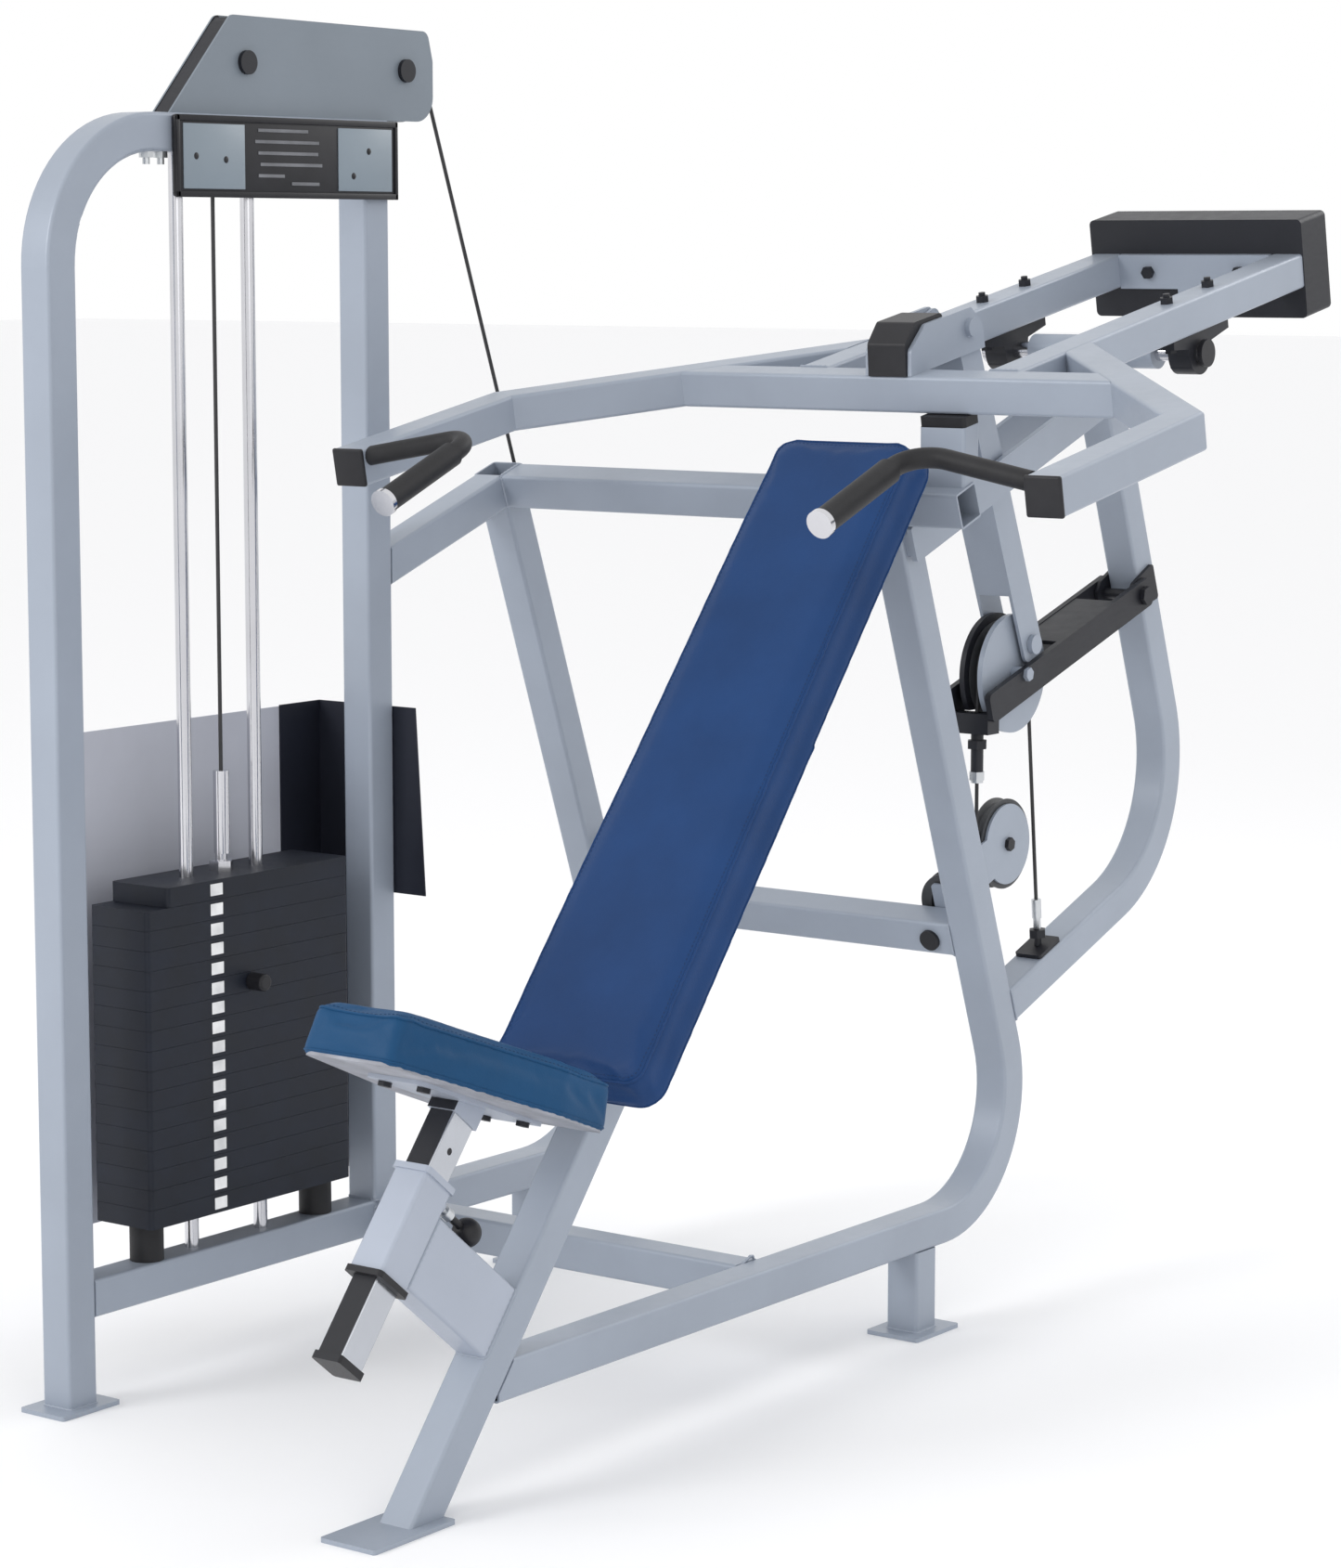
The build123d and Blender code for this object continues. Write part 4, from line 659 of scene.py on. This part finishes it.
board = bmesh.new()
on_placard(board, size.x - SUNK, size.y, size.z, 0, 0, 0.004, 3, low.x + (size.x - SUNK) / 2)
for end in (-1, 1):
    on_placard(board, SUNK, size.y, RIM_TALL, 0, end * (size.z / 2 - RIM_TALL / 2), 0.001)
    on_placard(board, SUNK, RIM_WIDE, size.z, end * (size.y / 2 - RIM_WIDE / 2), 0, 0.001)
placard = finish_piece("placard_frame", board, PLASTIC, "frame")
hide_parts("label_panel")
for label, aft, wide in (("front", -0.150, 0.118), ("rear", 0.153, 0.112)):
    plate = bmesh.new()
    on_placard(plate, 0.0015, wide, size.z - 0.022, aft, 0, 0.0006)
    finish_piece(f"placard_plate_{label}", plate, GREY_PLATE, "frame")

rivets = bmesh.new()
for aft, rise in ((-0.185, 0.0), (-0.128, -0.004), (0.128, -0.022), (0.160, 0.012)):
    made = bmesh.ops.create_uvsphere(rivets, u_segments=14, v_segments=8, radius=0.0048)["verts"]
    bmesh.ops.scale(rivets, vec=(0.4, 1, 1), verts=made)
    bmesh.ops.translate(rivets, vec=(high.x - 0.0022, middle.y + aft, middle.z + rise), verts=made)
finish_piece("placard_rivets", rivets, PLASTIC, "frame")

lines = bmesh.new()
LINE_START = -0.064
LINE_TALL = 0.0045
for rise, start, long in (
    (0.036, 0.0, 0.100), (0.021, -0.006, 0.128), (0.006, 0.0, 0.120), (-0.009, 0.004, 0.124),
    (-0.024, 0.0, 0.052), (-0.034, 0.066, 0.056),
):
    aft = LINE_START + start + long / 2
    on_placard(lines, 0.0008, long, LINE_TALL, aft, rise, 0.0003, 1, high.x - 0.0026)
finish_piece("placard_lines", lines, PRINT, "frame")


# ---------------------------------------------------------------- bolts, hole plugs and plate tags
def rod(bm, radius, length, sides, matrix):
    """Adds a short straight rod, its middle at the matrix and its length along the matrix's Z."""
    made = bmesh.ops.create_cone(
        bm, cap_ends=True, segments=sides, radius1=radius, radius2=radius, depth=length
    )["verts"]
    bmesh.ops.transform(bm, matrix=matrix, verts=made)


ARCH_BOLT_X = -0.668
ARCH_UNDER = 1.6447             # underside of the tower arch
NUT_LOW = 1.6365
THREAD_LOW = 1.628
arch_bolts = bmesh.new()
for y in (0.320, 0.347):
    for radius, bottom, top, sides in ((0.0095, NUT_LOW, ARCH_UNDER, 6), (0.0048, THREAD_LOW, NUT_LOW, 16)):
        here = Matrix.Translation((ARCH_BOLT_X, y, (bottom + top) / 2))
        rod(arch_bolts, radius, top - bottom, sides, here)
finish_piece("arch_bolts", arch_bolts, ZINC, "frame")

POST_SIDE = 0.0183
POST_MIDDLE = 0.210             # square to the leg
PLUG_SPOTS = (0.337, 0.373, 0.409)  # along the leg, at the holes of the seat post
plugs = bmesh.new()
for spot in PLUG_SPOTS:
    for side in (-1, 1):
        here = Matrix.Translation(LEG_FRAME @ Vector((side * POST_SIDE, spot, POST_MIDDLE)))
        rod(plugs, 0.0043, 0.001, 20, here @ Matrix.Rotation(math.radians(90), 4, "Y"))
finish_piece("post_hole_plugs", plugs, PLASTIC, "seat_carriage")

PLATE_PITCH = 0.0268
STACK_LOW = 0.226
TAG_UP = 0.0132                 # from a plate's lower face to its tag's middle
TAG_SIZE = (0.0008, 0.024, 0.016)
TAG_X = TOWER_X + 0.052 + 0.0003
TAG_Y = 0.391
for label, first, last, body in (("resting", 0, 11, "frame"), ("lifted", 11, 17, "weight_carriage")):
    tags = bmesh.new()
    for index in range(first, last):
        height = STACK_LOW + PLATE_PITCH * index + TAG_UP
        soft_box(tags, LEVEL, TAG_SIZE, (TAG_X, TAG_Y, height), 0.0003, 1)
    finish_piece(f"plate_tags_{label}", tags, TAG, body)


# ---------------------------------------------------------------- weld beads
BEAD = 0.0021
BEAD_STEP = 0.0025
BEAD_RIPPLE = 0.22
TUBE_CORNER = 0.006


def weld(bm, matrix, wide, deep):
    """Bead round a square tube's end, lying on the face that it meets."""
    half_w, half_d = wide / 2, deep / 2
    corners = [(-half_w, -half_d), (half_w, -half_d), (half_w, half_d), (-half_w, half_d)]
    run = even(rounded_outline(corners, TUBE_CORNER, 5), BEAD_STEP)
    sweep_round(bm, [matrix @ Vector((p.x, p.y, 0)) for p in run], BEAD, 7, closed=True, ripple=BEAD_RIPPLE)


def facing(origin, normal):
    """Frame at a joint, Z along the tube that ends there."""
    z = Vector(normal).normalized()
    x = ACROSS if abs(z.x) < 0.9 else along(TILT)
    y = z.cross(x).normalized()
    m = Matrix((y.cross(z), y, z)).transposed().to_4x4()
    m.translation = Vector(origin)
    return m


def tilted(x, u, w):
    return TILT_FRAME @ Vector((x, u, w))


# places up the tilted frame (along it and square to it), then heights and distances square to the floor
UPRIGHT_MID = 1.4034
MIDDLE_TUBE = 0.0716
TOP_TUBE = 0.7408
TUBE_END = 0.7154
LOOP_LOW = (1.4288, -0.0546)
FLOOR_TUBE = (0.7686, 0.146)
TOWER_REAR_Y = 0.7646
TOWER_FRONT_Y = 0.1514
REAR_FOOT_Y = 1.136
FOOT_TOP = 0.006
FLOOR_TUBE_TOP = 0.1714
GUSSET_ENDS = (-0.0045, 0.181)  # square to the leg
GUSSET_ALONG = 0.288
GUSSET_SIZE = (TUBE - 0.003, 0.096)
LEFT_AND_MIDDLE = (TOWER_X + TUBE / 2, -TUBE / 2)
welds = bmesh.new()
for x in LEFT_AND_MIDDLE:
    weld(welds, facing(tilted(x, UPRIGHT_MID, MIDDLE_TUBE), ACROSS), TUBE, TUBE)
weld(welds, facing(tilted(TOWER_X + TUBE / 2, UPRIGHT_MID, TOP_TUBE), ACROSS), TUBE, TUBE)
weld(welds, facing(tilted(0, UPRIGHT_MID, TUBE_END), above(TILT)), TUBE, TUBE)
weld(welds, facing(tilted(0, *LOOP_LOW), along(TILT)), TUBE, TUBE)
for x in LEFT_AND_MIDDLE:
    weld(welds, facing((x, *FLOOR_TUBE), ACROSS), TUBE, TUBE)
for x, y, z in (
    (TOWER_X, TOWER_REAR_Y, FLOOR_TUBE_TOP), (TOWER_X, TOWER_REAR_Y, ARCH_UNDER),
    (0, REAR_FOOT_Y, FOOT_TOP), (TOWER_X, REAR_FOOT_Y, FOOT_TOP), (TOWER_X, TOWER_FRONT_Y, FOOT_TOP),
):
    weld(welds, facing((x, y, z), UP), TUBE, TUBE)
for rise in GUSSET_ENDS:
    weld(welds, facing(LEG_FRAME @ Vector((0, GUSSET_ALONG, rise)), above(LEG)), *GUSSET_SIZE)
finish_piece("frame_welds", welds, PAINT, "frame")

RAIL_X = 0.155
RAIL_START = 0.5488             # along the arm
arm_welds = bmesh.new()
for x in (-RAIL_X, RAIL_X):
    weld(arm_welds, facing(ARM_FRAME @ Vector((x, RAIL_START, -TUBE / 2)), along(ARM)), TUBE, TUBE)
finish_piece("arm_welds", arm_welds, PAINT, "press_arm")


# ---------------------------------------------------------------- cables that change length as the machine moves, laid straight here
def straight(low, high, steps):
    return [Vector(low).lerp(Vector(high), k / steps) for k in range(steps + 1)]


CABLE_R = 0.00275
CABLE_SIDES = 12

low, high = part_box("stack_cable")
x, y = (low.x + high.x) / 2, (low.y + high.y) / 2
bm = bmesh.new()
sweep_round(bm, straight((x, y, low.z), (x, y, high.z), 24), CABLE_R, CABLE_SIDES)
piece = finish_piece("stack_cable_run", bm, ROPE, "frame")
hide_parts("stack_cable")
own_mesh(piece)

# each run is laid as a straight cable between its two ends; the last number of each is the share of its
# length meant to stand still
low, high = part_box("lift_cable")
front_y = low.y + CABLE_R
FRONT_TOP = 0.7655              # inside the lower end of the lever's guide tube
REAR_TOP = (1.4272, 0.9243)     # where the cable leaves the sheave
REAR_LOW = 0.577                # upper end of the cable anchor's fitting
runs = (
    ("front", Vector((0, front_y, low.z)), Vector((0, front_y, FRONT_TOP)), 0.0),
    ("rear", Vector((0, high.y - CABLE_R, REAR_LOW)), Vector((0, *REAR_TOP)), 0.85),
)
for label, start, end, still in runs:
    bm = bmesh.new()
    sweep_round(bm, straight(start, end, 80), CABLE_R, CABLE_SIDES)
    piece = finish_piece(f"lift_cable_{label}", bm, ROPE, None)
    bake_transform(piece)
    if label == "front":
        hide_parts("lift_cable")


# ---------------------------------------------------------------- floor, light and camera
FAR = 60
floor_mesh = bpy.data.meshes.new("floor")
floor_corners = [(-FAR, -FAR, 0), (FAR, -FAR, 0), (FAR, FAR, 0), (-FAR, FAR, 0)]
floor_mesh.from_pydata(floor_corners, [], [(0, 1, 2, 3)])
floor = bpy.data.objects.new("floor", floor_mesh)
scene.collection.objects.link(floor)
floor_material = new_material("pale_floor", (0.93, 0.93, 0.94), 0.8)[0]
floor_mesh.materials.append(floor_material)

world = bpy.data.worlds.new("studio")
scene.world = world
world.use_nodes = True
world.node_tree.nodes["Background"].inputs["Color"].default_value = (1, 1, 1, 1)
world.node_tree.nodes["Background"].inputs["Strength"].default_value = 1.0


def area_light(name, location, target, size, power):
    light = bpy.data.lights.new(name, "AREA")
    light.shape = "DISK"
    light.size = size
    light.energy = power
    lamp = bpy.data.objects.new(name, light)
    lamp.location = location
    lamp.rotation_euler = (Vector(target) - Vector(location)).to_track_quat("-Z", "Y").to_euler()
    scene.collection.objects.link(lamp)


area_light("key", (-3.2, -6.0, 4.2), (-0.1, 0.7, 0.9), size=3.2, power=190)
area_light("fill", (4.0, -1.6, 2.4), (0, 0.9, 0.9), size=2.5, power=12)
area_light("rim", (1.0, 4.6, 3.2), (0, 0.9, 1.0), size=2.0, power=30)

VIEW = math.radians(36.6)
DOWN = math.radians(7.52)
camera = bpy.data.cameras.new("camera")
camera.lens = 93.25
camera.sensor_width = 36
eye = bpy.data.objects.new("camera", camera)
eye.location = (3.0645, -3.5617, 1.52)
look = Vector((-math.sin(VIEW) * math.cos(DOWN), math.cos(VIEW) * math.cos(DOWN), -math.sin(DOWN)))
eye.rotation_euler = look.to_track_quat("-Z", "Y").to_euler()
scene.collection.objects.link(eye)
scene.camera = eye
scene.view_settings.view_transform = "Standard"
